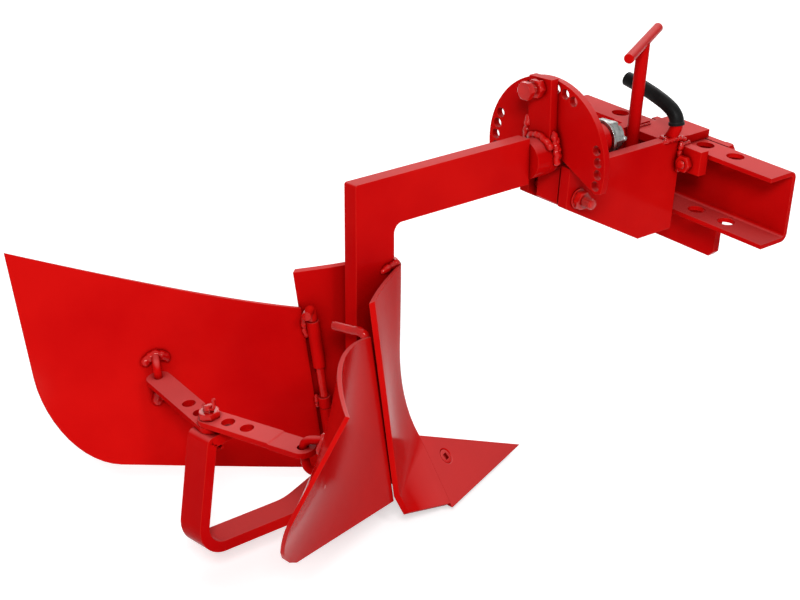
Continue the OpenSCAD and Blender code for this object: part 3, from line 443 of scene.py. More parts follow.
def bentBar(spots, radius, rounding, place=hitchPlace, settings=barSettings):
    data = bpy.data.curves.new("bentLine", "CURVE")
    data.dimensions = "3D"
    data.bevel_depth = radius * mm
    data.bevel_resolution = settings["bevelResolution"]
    data.resolution_u = settings["resolution"]
    data.use_fill_caps = True
    line = data.splines.new("BEZIER")
    line.bezier_points.add(len(spots) - 1)
    for point, spot in zip(line.bezier_points, spots):
        point.co = place @ (Vector(spot) * mm)
        point.handle_left_type = "AUTO"
        point.handle_right_type = "AUTO"
    bar = curveMesh("bentLine", data)
    editAll()
    bpy.ops.mesh.remove_doubles(threshold=mergeGap)
    bpy.ops.mesh.normals_make_consistent(inside=False)
    setMode("OBJECT")
    roundEdges(bar, rounding, settings["segments"], settings["edgeAngle"])
    applyAll(bar)
    shadeSmooth(settings["smooth"])
    return bar


handleSettings = {
    "x": 168.0,
    "line": [
        (-25.5, -12.0), (-30.2, -5.6), (-34.4, 3.0), (-36.3, 10.5), (-34.8, 17.4), (-29.6, 23.6),
        (-21.0, 28.4), (-10.6, 32.0), (8.8, 36.8), (31.0, 40.4), (40.0, 41.6),
    ],
    "rod": 6.8,
    "rodRound": 0.8,
    "grip": 8.0,
    "gripRound": 2.6,
    "gripFrom": 3,  # first point of the line inside the grip
    "lip": 0.9,
    "lipLong": 0.45,  # share of the way to the next point
    "lipRound": 0.7,
}


def makeHandle(settings):
    line = [Vector((settings["x"], y, z)) for y, z in settings["line"]]
    rod = bentBar(line[:-1], settings["rod"], settings["rodRound"])  # ends inside the grip
    rod.name = "carryHandleFinish"
    standFor(rod, "carry_handle")
    start = settings["gripFrom"]
    sleeve = bentBar(line[start:], settings["grip"], settings["gripRound"])
    # turned lip at the open end of the rubber
    first = line[start]
    second = first.lerp(line[start + 1], settings["lipLong"])
    lipLine = [first, first.lerp(second, 0.5), second]
    lip = bentBar(lipLine, settings["grip"] + settings["lip"], settings["lipRound"])
    standFor(joinPieces([sleeve, lip], "handleGripFinish"), "handle_grip")


# round bars, bolts and nuts lie along +Z from the origin before they are placed
roundBarSettings = {"sides": 48, "segments": 2, "edgeAngle": 40.0, "smooth": 30.0}


def roundBar(radius, length, rounding, settings=roundBarSettings):
    clearPick()
    middle = (0, 0, length * mm / 2)
    bpy.ops.mesh.primitive_cylinder_add(
        vertices=settings["sides"], radius=radius * mm, depth=length * mm, location=middle
    )
    bar = bpy.context.object
    roundEdges(bar, rounding, settings["segments"], settings["edgeAngle"])
    applyAll(bar)
    shadeSmooth(settings["smooth"])
    return bar


hingePinSettings = {
    "half": 40.0,
    "low": -172.0,
    "top": -4.0,  # the straight pin ends here, inside the arm
    "radius": 4.0,
    "round": 0.8,
    "armRadius": 4.7,
    "armRound": 0.9,
    "left": [
        (0.0, 0.0, -8.0), (0.0, 0.0, 1.0), (-2.4, -1.6, 4.6), (-8.0, -5.6, 5.0),
        (-14.6, -10.6, 5.0),
    ],
    "right": [
        (0.0, 0.0, -8.0), (0.0, 0.0, -1.0), (-1.0, 4.0, 2.6), (-3.4, 14.0, 3.0),
        (-8.1, 36.0, 3.0),
    ],
}


def makeHingePins(settings):
    for side, name in ((1.0, "left"), (-1.0, "right")):
        foot = Vector((0.0, side * settings["half"], 0.0))
        low = foot + Vector((0.0, 0.0, settings["low"]))
        bar = roundBar(settings["radius"], settings["top"] - settings["low"], settings["round"])
        moveMesh(bar, hingePlace @ Matrix.Translation(low * mm))
        line = [foot + Vector(spot) for spot in settings[name]]
        arm = bentBar(line, settings["armRadius"], settings["armRound"], hingePlace)
        piece = joinPieces([bar, arm], "hingePin" + name.capitalize() + "Finish")
        standFor(piece, "hinge_pin_" + name, "bead")


clipSettings = {
    "x": -163.0,
    "line": [(7.5, -15.0), (0.0, -15.0), (-6.0, -15.0), (-8.8, -13.0), (-11.8, -2.0)],
    "radius": 1.7,
    "round": 0.4,
}


def makeSplitPin(settings):
    line = [(settings["x"], y, z) for y, z in settings["line"]]
    piece = bentBar(line, settings["radius"], settings["round"], hingePlace)
    piece.name = "springClipFinish"
    standFor(piece, "spring_clip", "bead")


linkSettings = {
    "pin": -163.0,
    "rise": 6.3,  # the right link lies on the left one
    "stepAt": 80.0,
    "stepRun": 1.8,
    "stepDrop": 1.0,
    "width": 24.0,
    "eyeHole": 5.2,
    "flat": 0.25,
    "edge": 0.6,
    "segments": 2,
    "edgeAngle": 36.0,
    "smooth": 25.0,
}


def makeRightLink(settings):
    # the left link mirrored and laid on top of it, with a small step before the wing staple
    piece = nodeCopy("link_left", "linkRightFinish")
    mesh = piece.data
    mesh.transform(hingePlace.inverted())
    mesh.transform(Matrix.Scale(-1.0, 4, Vector((0.0, 1.0, 0.0))))
    mesh.transform(Matrix.Translation(Vector((-settings["pin"], 0.0, settings["rise"])) * mm))
    far = max(mesh.vertices, key=lambda vertex: vertex.co.length).co.copy()
    far.z = 0.0
    ahead = far.normalized()
    editAll()
    bpy.ops.mesh.remove_doubles(threshold=mergeGap)
    bpy.ops.mesh.normals_make_consistent(inside=False)
    bpy.ops.mesh.dissolve_limited(angle_limit=math.radians(settings["flat"]))
    for spot in (settings["stepAt"], settings["stepAt"] + settings["stepRun"]):
        selectAll()
        bpy.ops.mesh.bisect(plane_co=ahead * spot * mm, plane_no=ahead)
    setMode("OBJECT")
    for vertex in mesh.vertices:
        share = (vertex.co.dot(ahead) / mm - settings["stepAt"]) / settings["stepRun"]
        vertex.co.z -= settings["stepDrop"] * mm * min(1.0, max(0.0, share))
    # the hole at the eye is opened a little, so that the staple passes it freely
    half = settings["width"] * mm / 2.0
    eye = ahead * (far.length - half)
    for vertex in mesh.vertices:
        off = Vector((vertex.co.x - eye.x, vertex.co.y - eye.y, 0.0))
        if off.length < half / 2.0:
            wide = off.normalized() * settings["eyeHole"] * mm
            vertex.co.x = eye.x + wide.x
            vertex.co.y = eye.y + wide.y
    roundEdges(piece, settings["edge"], settings["segments"], settings["edgeAngle"])
    applyAll(piece)
    shadeSmooth(settings["smooth"])
    levelNormals(piece)
    moveMesh(piece, hingePlace @ Matrix.Translation(Vector((settings["pin"], 0.0, 0.0)) * mm))
    standFor(piece, "link_right")


strapSettings = {
    "line": [
        (-426.5, -179.4), (-453.4, -183.6), (-469.5, -294.0), (-345.0, -294.0), (-271.0, -266.2),
    ],
    "radii": [2.0, 24.0, 60.0],
    "arcStep": 5.0,  # degrees
    "width": 31.0,
    "thick": 11.0,
    "edge": 1.4,
    "segments": 3,
    "edgeAngle": 50.0,
    "smooth": 30.0,
}


def roundedLine(corners, radii, arcStep):
    line = [Vector(corners[0])]
    for before, corner, after, radius in zip(corners, corners[1:], corners[2:], radii):
        corner = Vector(corner)
        back = (Vector(before) - corner).normalized()
        on = (Vector(after) - corner).normalized()
        half = back.angle(on) / 2.0
        reach = radius / math.tan(half)
        middle = corner + (back + on).normalized() * radius / math.sin(half)
        first = corner + back * reach - middle
        sweep = first.angle_signed(corner + on * reach - middle)
        count = max(2, round(abs(math.degrees(sweep)) / arcStep))
        for k in range(count + 1):
            turned = first.copy()
            turned.rotate(Matrix.Rotation(-sweep * k / count, 2))
            line.append(middle + turned)
    line.append(Vector(corners[-1]))
    return line


def makeHeelStrap(settings):
    data = bpy.data.curves.new("strapLine", "CURVE")
    data.dimensions = "3D"
    data.extrude = settings["width"] / 2.0 * mm
    data.twist_mode = "Z_UP"
    spots = roundedLine(settings["line"], settings["radii"], settings["arcStep"])
    line = data.splines.new("POLY")
    line.points.add(len(spots) - 1)
    for point, spot in zip(line.points, spots):
        point.co = (spot.x * mm, spot.y * mm, 0.0, 1.0)
    piece = curveMesh("heelStrapFinish", data)
    editAll()
    bpy.ops.mesh.remove_doubles(threshold=mergeGap)
    setMode("OBJECT")
    skin = piece.modifiers.new("plate", "SOLIDIFY")
    skin.thickness = settings["thick"] * mm
    skin.offset = 0.0
    skin.use_even_offset = True
    roundEdges(piece, settings["edge"], settings["segments"], settings["edgeAngle"])
    applyAll(piece)
    editAll()
    bpy.ops.mesh.normals_make_consistent(inside=False)
    setMode("OBJECT")
    shadeSmooth(settings["smooth"])
    levelNormals(piece)
    moveMesh(piece, bodyPlace @ Matrix.Rotation(math.radians(90.0), 4, "X"))
    standFor(piece, "heel_strap")


shareBoltSettings = {
    "radius": 8.0,
    "round": 0.7,
    "sink": 0.5,
    "deep": 9.0,
    "socket": 6.4,
    "socketDeep": 2.6,
}


def headSpot(node, side):
    # place and direction of the flat head on one side of the share
    upright = bodyPlace.inverted()
    groups = {}
    for face in frame["nodes"][node].data.polygons:
        if (upright @ face.center).y * side > 0:
            key = tuple(round(value, 2) for value in face.normal)
            groups.setdefault(key, []).append(face)
    faces = max(groups.values(), key=lambda group: sum(face.area for face in group))
    area = sum(face.area for face in faces)
    spot = sum((face.center * face.area for face in faces), Vector()) / area
    return spot, faces[0].normal.copy()


def makeShareBolts(settings):
    heads = []
    socket = settings["socket"] * mm
    for side in (1.0, -1.0):
        spot, outward = headSpot("share_bolts", side)
        head = roundBar(settings["radius"], settings["deep"], settings["round"])
        clearPick()
        bpy.ops.mesh.primitive_cube_add(size=1.0, location=(0, 0, settings["deep"] * mm))
        cutter = bpy.context.object
        cutter.scale = (socket, socket, 2 * settings["socketDeep"] * mm)
        bakePlace()
        cutWith(head, cutter, "DIFFERENCE")
        applyAll(head)
        bpy.data.objects.remove(cutter)
        turn = outward.to_track_quat("Z", "Y").to_matrix().to_4x4()
        low = spot - outward * (settings["deep"] + settings["sink"]) * mm
        moveMesh(head, Matrix.Translation(low) @ turn)
        heads.append(head)
    standFor(joinPieces(heads, "shareBoltsFinish"), "share_bolts")


hexSettings = {
    "flat": 0.475,  # radius of the flat end, as a share of the width across
    "slope": 30.0,
    "sides": 60,
    "clear": 1.001,  # the cutter stands just outside the corners
    "edge": 0.25,
    "segments": 2,
    "edgeAngle": 20.0,
    "smooth": 28.0,
}


def selectEnd(piece, side):
    # the one face that looks up or down
    for group in (piece.data.vertices, piece.data.edges, piece.data.polygons):
        for item in group:
            item.select = False
    face = max(piece.data.polygons, key=lambda item: item.normal.z * side)
    face.select = True
    for index in face.vertices:
        piece.data.vertices[index].select = True


def hexBlock(across, height, settings=hexSettings):
    # six sides, with both ends chamfered by a round cutter
    corner = across / math.sqrt(3.0) * mm
    flat = across * settings["flat"] * mm
    fall = (corner - flat) * math.tan(math.radians(settings["slope"]))
    middle = (0, 0, height * mm / 2)
    clearPick()
    bpy.ops.mesh.primitive_cylinder_add(
        vertices=6, radius=corner, depth=height * mm, location=middle
    )
    block = bpy.context.object
    clearPick()
    straight = height * mm - fall - fall
    bpy.ops.mesh.primitive_cylinder_add(
        vertices=settings["sides"], radius=corner * settings["clear"], depth=straight,
        location=(0, 0, fall + straight / 2),
    )
    cutter = bpy.context.object
    for side in (1.0, -1.0):
        selectEnd(cutter, side)
        pick(cutter)
        setMode("EDIT")
        bpy.ops.mesh.select_mode(type="FACE")
        bpy.ops.mesh.extrude_region_move(TRANSFORM_OT_translate={"value": (0, 0, side * fall)})
        bpy.ops.transform.resize(value=(flat / corner, flat / corner, 1.0))
        setMode("OBJECT")
    cutWith(block, cutter, "INTERSECT")
    roundEdges(block, settings["edge"], settings["segments"], settings["edgeAngle"])
    applyAll(block)
    bpy.data.objects.remove(cutter)
    pick(block)
    shadeSmooth(settings["smooth"])
    return block


threadSettings = {
    "depth": 0.55,  # depth, crest and foot are shares of the pitch
    "crest": 0.45,
    "foot": 0.9,
    "root": 0.3,  # how far the ridge reaches into the bar
    "steps": 32,
    "seamGap": 0.000005,
    "smooth": 30.0,
}


def threadRidge(radius, pitch, length, settings=threadSettings):
    clearPick()
    bpy.ops.mesh.primitive_plane_add(size=1.0)
    ridge = bpy.context.object
    setMode("EDIT")
    bpy.ops.mesh.select_mode(type="VERT")
    selectAll()
    bpy.ops.mesh.delete(type="ONLY_FACE")
    setMode("OBJECT")
    floor = radius - pitch * settings["depth"]
    foot = pitch * settings["foot"]
    crest = (radius, pitch * settings["crest"])
    corners = ((floor - settings["root"], 0.0), (floor, 0.0), crest, (floor, foot))
    for index, (out, along) in zip((0, 1, 3, 2), corners):  # around the outline of the plane
        ridge.data.vertices[index].co = (out * mm, 0.0, along * mm)
    wind = ridge.modifiers.new("wind", "SCREW")
    wind.axis = "Z"
    wind.angle = math.radians(360.0)
    wind.screw_offset = pitch * mm
    wind.iterations = max(1, int((length - foot) / pitch))
    wind.steps = settings["steps"]
    wind.render_steps = settings["steps"]
    wind.use_merge_vertices = True
    wind.merge_threshold = mergeGap
    applyAll(ridge)
    editAll()
    bpy.ops.mesh.remove_doubles(threshold=settings["seamGap"])
    bpy.ops.mesh.select_all(action="DESELECT")
    bpy.ops.mesh.select_non_manifold()
    bpy.ops.mesh.fill_holes(sides=0)
    selectAll()
    bpy.ops.mesh.normals_make_consistent(inside=False)
    setMode("OBJECT")
    shadeSmooth(settings["smooth"])
    return ridge


def threadedBar(settings, length, threaded):
    bar = roundBar(settings["radius"] - settings["core"], length, settings["round"])
    return bar, threadRidge(settings["radius"], settings["pitch"], threaded)


hexTurn = Matrix.Rotation(math.radians(30.0), 4, "Z")
turns = {
    "forward": Matrix.Rotation(math.radians(90.0), 4, "Y"),
    "rearward": Matrix.Rotation(math.radians(-90.0), 4, "Y"),
    "left": Matrix.Rotation(math.radians(-90.0), 4, "X") @ hexTurn,
    "right": Matrix.Rotation(math.radians(90.0), 4, "X") @ hexTurn,
    "up": hexTurn,
}


def setAlong(piece, way, place, *spot):
    moveMesh(piece, places[place] @ Matrix.Translation(Vector(spot) * mm) @ turns[way])


indexBoltSettings = {
    "height": 73.3,
    "across": 18.0,
    "head": 7.0,
    "headAt": -28.0,
    "tip": -0.6,
    "sunk": 0.5,  # how far the bar reaches into the head
    "radius": 5.0,
    "core": 0.75,
    "round": 0.6,
    "pitch": 1.5,
}


def makeIndexBolt(settings):
    headAt, height = settings["headAt"], settings["height"]
    head = hexBlock(settings["across"], settings["head"])
    setAlong(head, "rearward", "body", headAt, 0, height)
    length = settings["tip"] - headAt
    bar, ridge = threadedBar(settings, length + settings["sunk"], length - settings["sunk"])
    setAlong(bar, "forward", "body", headAt - settings["sunk"], 0, height)
    setAlong(ridge, "forward", "body", headAt, 0, height)
    standFor(joinPieces([head, bar, ridge], "indexBoltFinish"), "index_bolt", "bead")


lockNutSettings = {"height": 9.0, "at": -20.3}


def makeLockNut(settings, bolt):
    nut = hexBlock(bolt["across"], settings["height"])
    setAlong(nut, "forward", "body", settings["at"], 0, bolt["height"])
    nut.name = "lockNutFinish"
    standFor(nut, "lock_nut", "bead")


clampSettings = {
    "half": 45.0,
    "drop": -34.0,
    "across": 17.0,
    "nut": 8.0,  # height of the nuts and of the heads
    "nutAt": 174.0,
    "headAt": 250.0,
    "tail": 171.0,
    "sunk": 1.0,
    "radius": 5.0,
    "core": 0.8,
    "round": 0.8,
    "pitch": 1.5,
    "threaded": 30.0,
    "lead": 0.4,  # plain end before the thread
}


def makeClampFasteners(settings):
    nuts = []
    bolts = []
    tail, headAt, drop = settings["tail"], settings["headAt"], settings["drop"]
    for side in (1.0, -1.0):
        y = settings["half"] * side
        nut = hexBlock(settings["across"], settings["nut"])
        setAlong(nut, "forward", "hitch", settings["nutAt"], y, drop)
        nuts.append(nut)
        head = hexBlock(settings["across"], settings["nut"])
        setAlong(head, "forward", "hitch", headAt, y, drop)
        bar, ridge = threadedBar(settings, headAt - tail + settings["sunk"], settings["threaded"])
        setAlong(bar, "forward", "hitch", tail, y, drop)
        setAlong(ridge, "forward", "hitch", tail + settings["lead"], y, drop)
        bolts.extend([head, bar, ridge])
    # painted over together with the hitch
    for pieces, name, node in (
        (nuts, "clampNutsFinish", "clamp_nuts"),
        (bolts, "clampBoltsFinish", "clamp_bolts"),
    ):
        finishPiece(joinPieces(pieces, name), "paint", bodyOf[node], (node,), "bead")


pitchSettings = {
    "x": 20.0,
    "drop": -43.0,
    "half": 34.0,
    "body": 7.0,
    "bodyRound": 0.6,
    "across": 18.0,
    "nut": 8.0,
    "washer": 2.0,
    "washerShare": 0.62,
    "washerRound": 0.5,
    "tail": 12.0,
    "radius": 6.0,
    "core": 0.8,
    "round": 0.8,
    "pitch": 1.5,
    "lead": 0.4,
}


def makePitchFasteners(settings):
    # nut, washer and threaded end on both sides of the hitch
    x, drop, half = settings["x"], settings["drop"], settings["half"]
    washerRadius = settings["across"] * settings["washerShare"]
    length = settings["nut"] + settings["tail"]
    halves = []
    for side, way in ((1.0, "left"), (-1.0, "right")):
        washer = roundBar(washerRadius, settings["washer"], settings["washerRound"])
        setAlong(washer, way, "hitch", x, side * half, drop)
        nut = hexBlock(settings["across"], settings["nut"])
        end, ridge = threadedBar(settings, length, length - settings["lead"])
        for piece in (nut, end, ridge):
            setAlong(piece, way, "hitch", x, side * (half + settings["washer"]), drop)
        halves.append([washer, nut, end, ridge])
    middle = roundBar(settings["body"], 2 * half, settings["bodyRound"])
    setAlong(middle, "left", "hitch", x, -half, drop)
    standFor(joinPieces(halves[0], "pitchNutFinish"), "pitch_nut", "bead")
    standFor(joinPieces(halves[1] + [middle], "pitchBoltFinish"), "pitch_bolt", "bead")


linkPinSettings = {
    "back": -163.0,
    "top": -24.7,
    "across": 19.0,
    "nut": 6.5,
    "end": 6.0,
    "grip": 6.0,
    "radius": 5.2,
    "core": 0.9,
    "round": 0.8,
    "pitch": 1.75,
    "lead": 0.5,
}


def makeLinkPin(settings):
    back, top, grip = settings["back"], settings["top"], settings["grip"]
    nut = hexBlock(settings["across"], settings["nut"])
    length = settings["nut"] + settings["end"]
    bar, ridge = threadedBar(settings, grip + length, length - settings["lead"])
    setAlong(nut, "up", "hinge", back, 0, top)
    setAlong(bar, "up", "hinge", back, 0, top - grip)
    setAlong(ridge, "up", "hinge", back, 0, top)
    standFor(joinPieces([nut, bar, ridge], "linkPinFinish"), "link_pin", "bead")


makeHandle(handleSettings)
makeHingePins(hingePinSettings)
makeSplitPin(clipSettings)
makeRightLink(linkSettings)
makeHeelStrap(strapSettings)
makeShareBolts(shareBoltSettings)
makeIndexBolt(indexBoltSettings)
makeLockNut(lockNutSettings, indexBoltSettings)
makeClampFasteners(clampSettings)
makePitchFasteners(pitchSettings)
makeLinkPin(linkPinSettings)
rebuiltNodes = {
    "index_bolt", "lock_nut", "clamp_nuts", "clamp_bolts", "pitch_nut", "pitch_bolt", "link_pin",
    "carry_handle", "handle_grip", "hinge_pin_left", "hinge_pin_right", "spring_clip",
    "link_right", "heel_strap", "share_bolts",
}
print("stage 3: handle, pins, right link, heel strap, bolts and nuts made")

# softened copies of the other solids: merged, edges rounded, curved sheets shaded smooth
softSettings = {
    "edge": 0.5,
    "edgeOf": {
        "shank": 1.2, "side_plate_left": 0.8, "side_plate_right": 0.8, "top_plate": 0.8,
        "front_plate": 0.8, "index_disc": 0.8, "index_strap": 1.0, "link_left": 0.8,
        "wing_left": 1.1, "wing_right": 1.1, "breast": 1.1, "share": 1.5, "clamp_lugs": 1.0,
        "cross_bar": 1.2, "castle_nut": 0.4, "cotter_pin": 0.2, "wing_staple_left": 0.3,
        "wing_staple_right": 0.3, "shaft_washer": 0.5,
    },
    # the right wing's tail ends before its solid: a line around it, and the way across the sheet
    "trims": {
        "wing_right": {
            "across": (0.371, -0.892, -0.26),
            "line": [
                (-728.5, -213.1, -110.2), (-725.0, -203.2, -139.2), (-718.2, -195.0, -157.5),
                (-710.0, -186.0, -176.8), (-702.5, -178.1, -193.3), (-693.7, -170.6, -206.3),
                (-683.6, -163.5, -216.4), (-672.4, -156.7, -223.7),
            ],
        },
    },
    "flat": 0.25,
    "segments": 2,
    "edgeAngle": 36.0,
    "smooth": 33.0,
}


def softCopy(name, settings):
    piece = nodeCopy(name, name + "Finish")
    editAll()
    bpy.ops.mesh.remove_doubles(threshold=mergeGap)
    bpy.ops.mesh.dissolve_limited(angle_limit=math.radians(settings["flat"]))
    if name in settings["trims"]:
        trim = settings["trims"][name]
        spots = [Vector(spot) * mm for spot in trim["line"]]
        for first, second in zip(spots, spots[1:]):
            away = (second - first).cross(Vector(trim["across"])).normalized()
            selectAll()
            bpy.ops.mesh.bisect(plane_co=first, plane_no=away, use_fill=True, clear_outer=True)
    setMode("OBJECT")
    edge = settings["edgeOf"].get(name, settings["edge"])
    roundEdges(piece, edge, settings["segments"], settings["edgeAngle"])
    applyAll(piece)
    shadeSmooth(settings["smooth"])
    levelNormals(piece)
    standFor(piece, name)


for nodeName in sorted(frame["nodes"]):
    if nodeName not in rebuiltNodes:
        softCopy(nodeName, softSettings)
print("stage 4: solids softened")

# weld beads: the body that carries each, its radius, and its path in that body's frame
weldSettings = {
    "step": 0.72,  # from lump to lump, as a share of the radius
    "swell": (0.80, 0.30),
    "beat": (1.9, 0.6, 0.7),
    "sway": (2.3, 1.7, 1.1),
    "swayShare": 0.16,
    "voxel": 0.2,
    "leastVoxel": 0.35,
    "calm": 0.5,
    "arcSteps": 24,
    "lumpShape": ((-1.0, 1.0), (-0.55, 0.15), (0.0, -0.35), (0.55, 0.15), (1.0, 1.0)),
    "lumpLift": 1.6,
    "wingNormal": (-0.5451, -0.8065, 0.2290),
    "places": {
        "hitch": hitchPlace, "carrier": hitchPlace, "ridging_body": bodyPlace,
        "left_wing": hingePlace, "right_wing": hingePlace,
    },
    # an arc has its centre, its radius and two angles; a pair has a path for its left bead
    "beads": [
        {"name": "weldHubTop", "body": "ridging_body", "radius": 4.4,
         "arc": ((-12.6, 0.0, 0.0), 22.4, 62.0, 142.0)},
        {"name": "weldStrapRight", "body": "ridging_body", "radius": 3.9,
         "path": [(-6.4, -17.0, 27.0), (-6.6, -19.0, 17.0), (-6.8, -21.8, 7.0),
                  (-6.8, -22.6, -3.0)]},
        {"name": "weldStrapRightOuter", "body": "ridging_body", "radius": 3.0,
         "path": [(-3.6, -18.6, 22.0), (-3.6, -21.2, 12.0), (-3.6, -22.6, 2.0)]},
        {"name": "weldStrapLeft", "body": "ridging_body", "radius": 4.2,
         "path": [(-9.0, 16.6, 38.0), (-9.6, 17.4, 28.0), (-10.4, 18.4, 19.0)]},
        {"name": "weldDiscTube", "body": "carrier", "radius": 2.4,
         "arc": ((8.6, 0.0, 0.0), 18.8, 20.0, 160.0)},
        {"name": "weldLugRight", "body": "hitch", "radius": 3.6,
         "path": [(180.6, -36.0, -13.0), (180.2, -36.4, -26.0), (180.6, -36.0, -44.0)]},
        {"name": "weldLugRightTop", "body": "hitch", "radius": 2.8,
         "path": [(180.0, -36.0, -15.0), (188.0, -35.6, -15.2), (195.0, -35.4, -15.4)]},
        {"name": "weldLugLeft", "body": "hitch", "radius": 3.6,
         "path": [(180.6, 36.0, -15.0), (180.2, 36.4, -28.0), (180.6, 36.0, -44.0)]},
        {"name": "weldLugLeftTop", "body": "hitch", "radius": 2.8,
         "path": [(181.0, 35.6, -15.2), (195.0, 35.4, -15.4)]},
        {"name": "weldHandleOuter", "body": "hitch", "radius": 3.0,
         "path": [(154.0, -33.6, -8.0), (160.0, -35.0, -6.4), (168.0, -36.4, -5.0),
                  (176.0, -35.0, -6.8), (187.0, -34.4, -10.0)]},
        {"name": "weldHandleInner", "body": "hitch", "radius": 2.6,
         "path": [(159.0, -23.6, -7.2), (168.0, -21.6, -7.6), (177.0, -23.6, -7.2)]},
        {"name": "weldHandleRear", "body": "hitch", "radius": 2.6,
         "path": [(160.4, -34.0, -6.6), (160.0, -28.0, -6.4), (160.6, -23.0, -6.8)]},
        {"name": "weldTongue", "body": "hitch", "radius": 1.8,
         "pair": [(168.0, 21.2, -10.4), (193.0, 21.2, -10.4)]},
        {"name": "weldBridge", "body": "hitch", "radius": 2.0,
         "pair": [(127.0, 21.0, -75.6), (153.0, 21.0, -75.6)]},
        {"name": "weldBreastTop", "body": "ridging_body", "radius": 4.0,
         "path": [(-237.0, -10.2, -69.4), (-231.5, -10.8, -67.2), (-226.0, -11.0, -65.6),
                  (-221.0, -10.2, -64.8), (-217.6, -6.0, -64.8), (-217.0, 0.0, -64.8),
                  (-217.6, 6.0, -64.8), (-221.0, 10.2, -64.8), (-226.0, 11.0, -65.6),
                  (-231.5, 10.8, -67.2), (-237.0, 10.2, -69.4)]},
        {"name": "weldBreast", "body": "ridging_body", "radius": 2.4,
         "pair": [(-224.0, 10.2, -74.0), (-223.0, 10.4, -110.0), (-223.0, 10.4, -150.0)]},
        {"name": "weldHeelTop", "body": "ridging_body", "radius": 2.6,
         "path": [(-271.6, -14.0, -260.4), (-271.6, 14.0, -260.4)]},
        {"name": "weldHeelLow", "body": "ridging_body", "radius": 2.6,
         "path": [(-271.6, -14.0, -272.6), (-271.6, 14.0, -272.6)]},
    ],
    # on the left wing, mirrored on the right one; a lump has its middle, half length and drop
    "wingBeads": [
        {"name": "weldSleeve", "radius": 3.8,
         "path": [(-4.4, 48.0, -8.0), (-4.6, 48.2, -17.0), (-3.6, 48.3, -27.0)]},
        {"name": "weldRing", "radius": 3.0, "path": [(-3.5, 48.2, -97.0), (-3.5, 48.2, -106.6)]},
        {"name": "weldStapleHigh", "radius": 5.0, "lump": ((-129.2, 130.0, -18.5), 10.5, -5.0)},
        {"name": "weldStapleLow", "radius": 5.2, "lump": ((-134.4, 122.8, -57.0), 7.0, -6.0)},
    ],
}


def arcSpots(arc, count):
    (x, y, z), radius, start, stop = arc
    spots = []
    for k in range(count + 1):
        angle = math.radians(start + (stop - start) * k / count)
        spots.append(Vector((x, y + radius * math.cos(angle), z + radius * math.sin(angle))))
    return spots


def lumpSpots(lump, settings):
    # across the foot of a staple, on the sheet, with the ends let down
    centre, half, drop = lump
    normal = Vector(settings["wingNormal"])
    across = normal.cross(Vector((0.0, 0.0, 1.0))).normalized()
    upward = across.cross(normal).normalized()
    lift = normal * settings["lumpLift"]
    return [
        Vector(centre) + across * half * reach + upward * drop * fall + lift
        for reach, fall in settings["lumpShape"]
    ]


def mirrored(spots):
    return [Vector((spot[0], -spot[1], spot[2])) for spot in spots]


def evenSpots(spots, step):
    result = [spots[0]]
    for first, second in zip(spots, spots[1:]):
        count = max(1, round((second - first).length / step))
        for k in range(1, count + 1):
            result.append(first.lerp(second, k / count))
    return result


def makeBead(name, spots, radius, body, settings):
    # a row of lumps that swell and sway a little, under one smooth skin
    spots = evenSpots([Vector(spot) for spot in spots], radius * settings["step"])
    least, more = settings["swell"]
    quick, bend, slow = settings["beat"]
    swayX, swayY, swayZ = settings["sway"]
    clearPick()
    for k, spot in enumerate(spots):
        swell = radius * (least + more * abs(math.sin(quick * k + bend * math.sin(slow * k))))
        sway = Vector((math.sin(swayX * k), math.cos(swayY * k), math.sin(swayZ * k)))
        spot = spot + sway * radius * settings["swayShare"]
        where = settings["places"][body] @ (spot * mm)
        bpy.ops.mesh.primitive_ico_sphere_add(subdivisions=2, radius=swell * mm, location=where)
        if k == 0:
            bead = bpy.context.object
            setMode("EDIT")  # the next lumps go into the same mesh
    setMode("OBJECT")
    bead.name = name
    pick(bead)
    bakePlace()
    skin = bead.modifiers.new("skin", "REMESH")
    skin.mode = "VOXEL"
    skin.voxel_size = max(settings["leastVoxel"], radius * settings["voxel"]) * mm
    calm = bead.modifiers.new("calm", "SMOOTH")
    calm.factor = settings["calm"]
    calm.iterations = 1
    applyAll(bead)
    bpy.ops.object.shade_smooth()
    finishPiece(bead, "paint", body, (), "bead")


for weld in weldSettings["beads"]:
    name, radius, body = weld["name"], weld["radius"], weld["body"]
    if "pair" in weld:
        makeBead(name + "Right", mirrored(weld["pair"]), radius, body, weldSettings)
        makeBead(name + "Left", weld["pair"], radius, body, weldSettings)
    elif "arc" in weld:
        path = arcSpots(weld["arc"], weldSettings["arcSteps"])
        makeBead(name, path, radius, body, weldSettings)
    else:
        makeBead(name, weld["path"], radius, body, weldSettings)
for weld in weldSettings["wingBeads"]:
    name, radius = weld["name"], weld["radius"]
    path = lumpSpots(weld["lump"], weldSettings) if "lump" in weld else weld["path"]
    makeBead(name + "Left", path, radius, "left_wing", weldSettings)
    makeBead(name + "Right", mirrored(path), radius, "right_wing", weldSettings)
print("stage 5: weld beads laid")

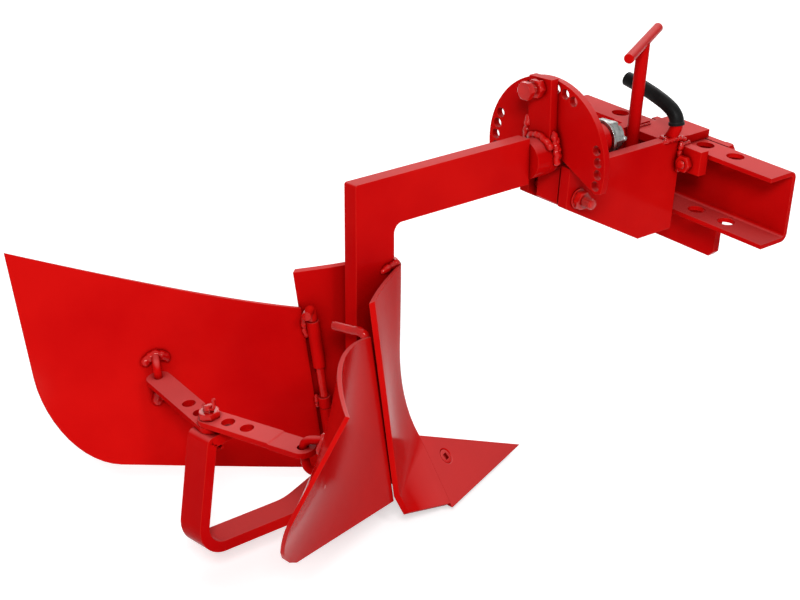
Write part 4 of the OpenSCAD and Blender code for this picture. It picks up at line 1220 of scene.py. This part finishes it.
stageSettings = {
    "floorSize": 16.0,
    "floorMiddle": (-0.3, 0.0),
    "floorGap": 0.001,
    "floorColor": (0.86, 0.86, 0.86, 1.0),
    "floorGlow": 0.60,
    "skyColor": (1.0, 1.0, 1.0, 1.0),
    "skyStrength": 0.19,  # as light on the object
    "skySeen": 1.0,  # as background
    "lamps": [
        {"name": "keyLamp", "place": (-2.6, -2.2, 2.2), "aim": (-0.35, 0.0, -0.1),
         "size": (1.0, 1.0), "power": 76.0},
        {"name": "backPanel", "place": (1.73, 1.83, 1.85), "aim": (-0.3, 0.0, -0.02),
         "size": (4.6, 1.5), "power": 54.0},
        {"name": "sparkLamp", "place": (-1.2, -2.4, 2.0), "aim": (-0.3, 0.0, 0.0),
         "size": (0.45, 0.45), "power": 14.0},
        {"name": "topLamp", "place": (0.5, 0.5, 2.8), "aim": (-0.3, 0.0, 0.0),
         "size": (2.2, 2.2), "power": 6.0},
    ],
}


def seenRays(nodes, links):
    # 1 for what the camera, metal and glass see, 0 for the light that falls on the object
    ray = nodes.new("ShaderNodeLightPath").outputs
    seen = mathNode(nodes, links, "MAXIMUM", ray["Is Camera Ray"], ray["Is Glossy Ray"])
    return mathNode(nodes, links, "MAXIMUM", seen, ray["Is Transmission Ray"])


def makeFloor(settings, low):
    clearPick()
    middle = (*settings["floorMiddle"], low - settings["floorGap"])
    bpy.ops.mesh.primitive_plane_add(size=settings["floorSize"], location=middle)
    floor = bpy.context.object
    floor.name = "floor"
    material = bpy.data.materials.new("floorWhite")
    nodes, links = freshNodes(material)
    output = nodes.new("ShaderNodeOutputMaterial")
    matt = nodes.new("ShaderNodeBsdfDiffuse")
    matt.inputs["Color"].default_value = settings["floorColor"]
    glow = nodes.new("ShaderNodeEmission")
    seen = seenRays(nodes, links)
    level = mathNode(nodes, links, "MULTIPLY", seen, settings["floorGlow"])
    links.new(level, glow.inputs["Strength"])
    both = nodes.new("ShaderNodeAddShader")
    links.new(matt.outputs["BSDF"], both.inputs[0])
    links.new(glow.outputs["Emission"], both.inputs[1])
    links.new(both.outputs["Shader"], output.inputs["Surface"])
    floor.data.materials.append(material)


def makeSky(settings):
    world = bpy.data.worlds.new("studioSky")
    bpy.context.scene.world = world
    nodes, links = freshNodes(world)
    output = nodes.new("ShaderNodeOutputWorld")
    mix = nodes.new("ShaderNodeMixShader")
    links.new(seenRays(nodes, links), mix.inputs["Fac"])
    for socket, strength in ((mix.inputs[1], "skyStrength"), (mix.inputs[2], "skySeen")):
        plain = nodes.new("ShaderNodeBackground")
        plain.inputs["Color"].default_value = settings["skyColor"]
        plain.inputs["Strength"].default_value = settings[strength]
        links.new(plain.outputs["Background"], socket)
    links.new(mix.outputs["Shader"], output.inputs["Surface"])


def makeLamp(settings):
    data = bpy.data.lights.new(settings["name"], "AREA")
    data.shape = "ELLIPSE"
    data.size, data.size_y = settings["size"]
    data.energy = settings["power"]
    lamp = addObject(settings["name"], data)
    lamp.location = settings["place"]
    aim = Vector(settings["aim"]) - Vector(settings["place"])
    lamp.rotation_mode = "QUATERNION"
    lamp.rotation_quaternion = aim.to_track_quat("-Z", "Y")


makeFloor(stageSettings, cadLow.z)
makeSky(stageSettings)
for lampSettings in stageSettings["lamps"]:
    makeLamp(lampSettings)
bpy.context.scene.view_settings.view_transform = "Standard"
print("stage 6: floor, sky and lamps made")
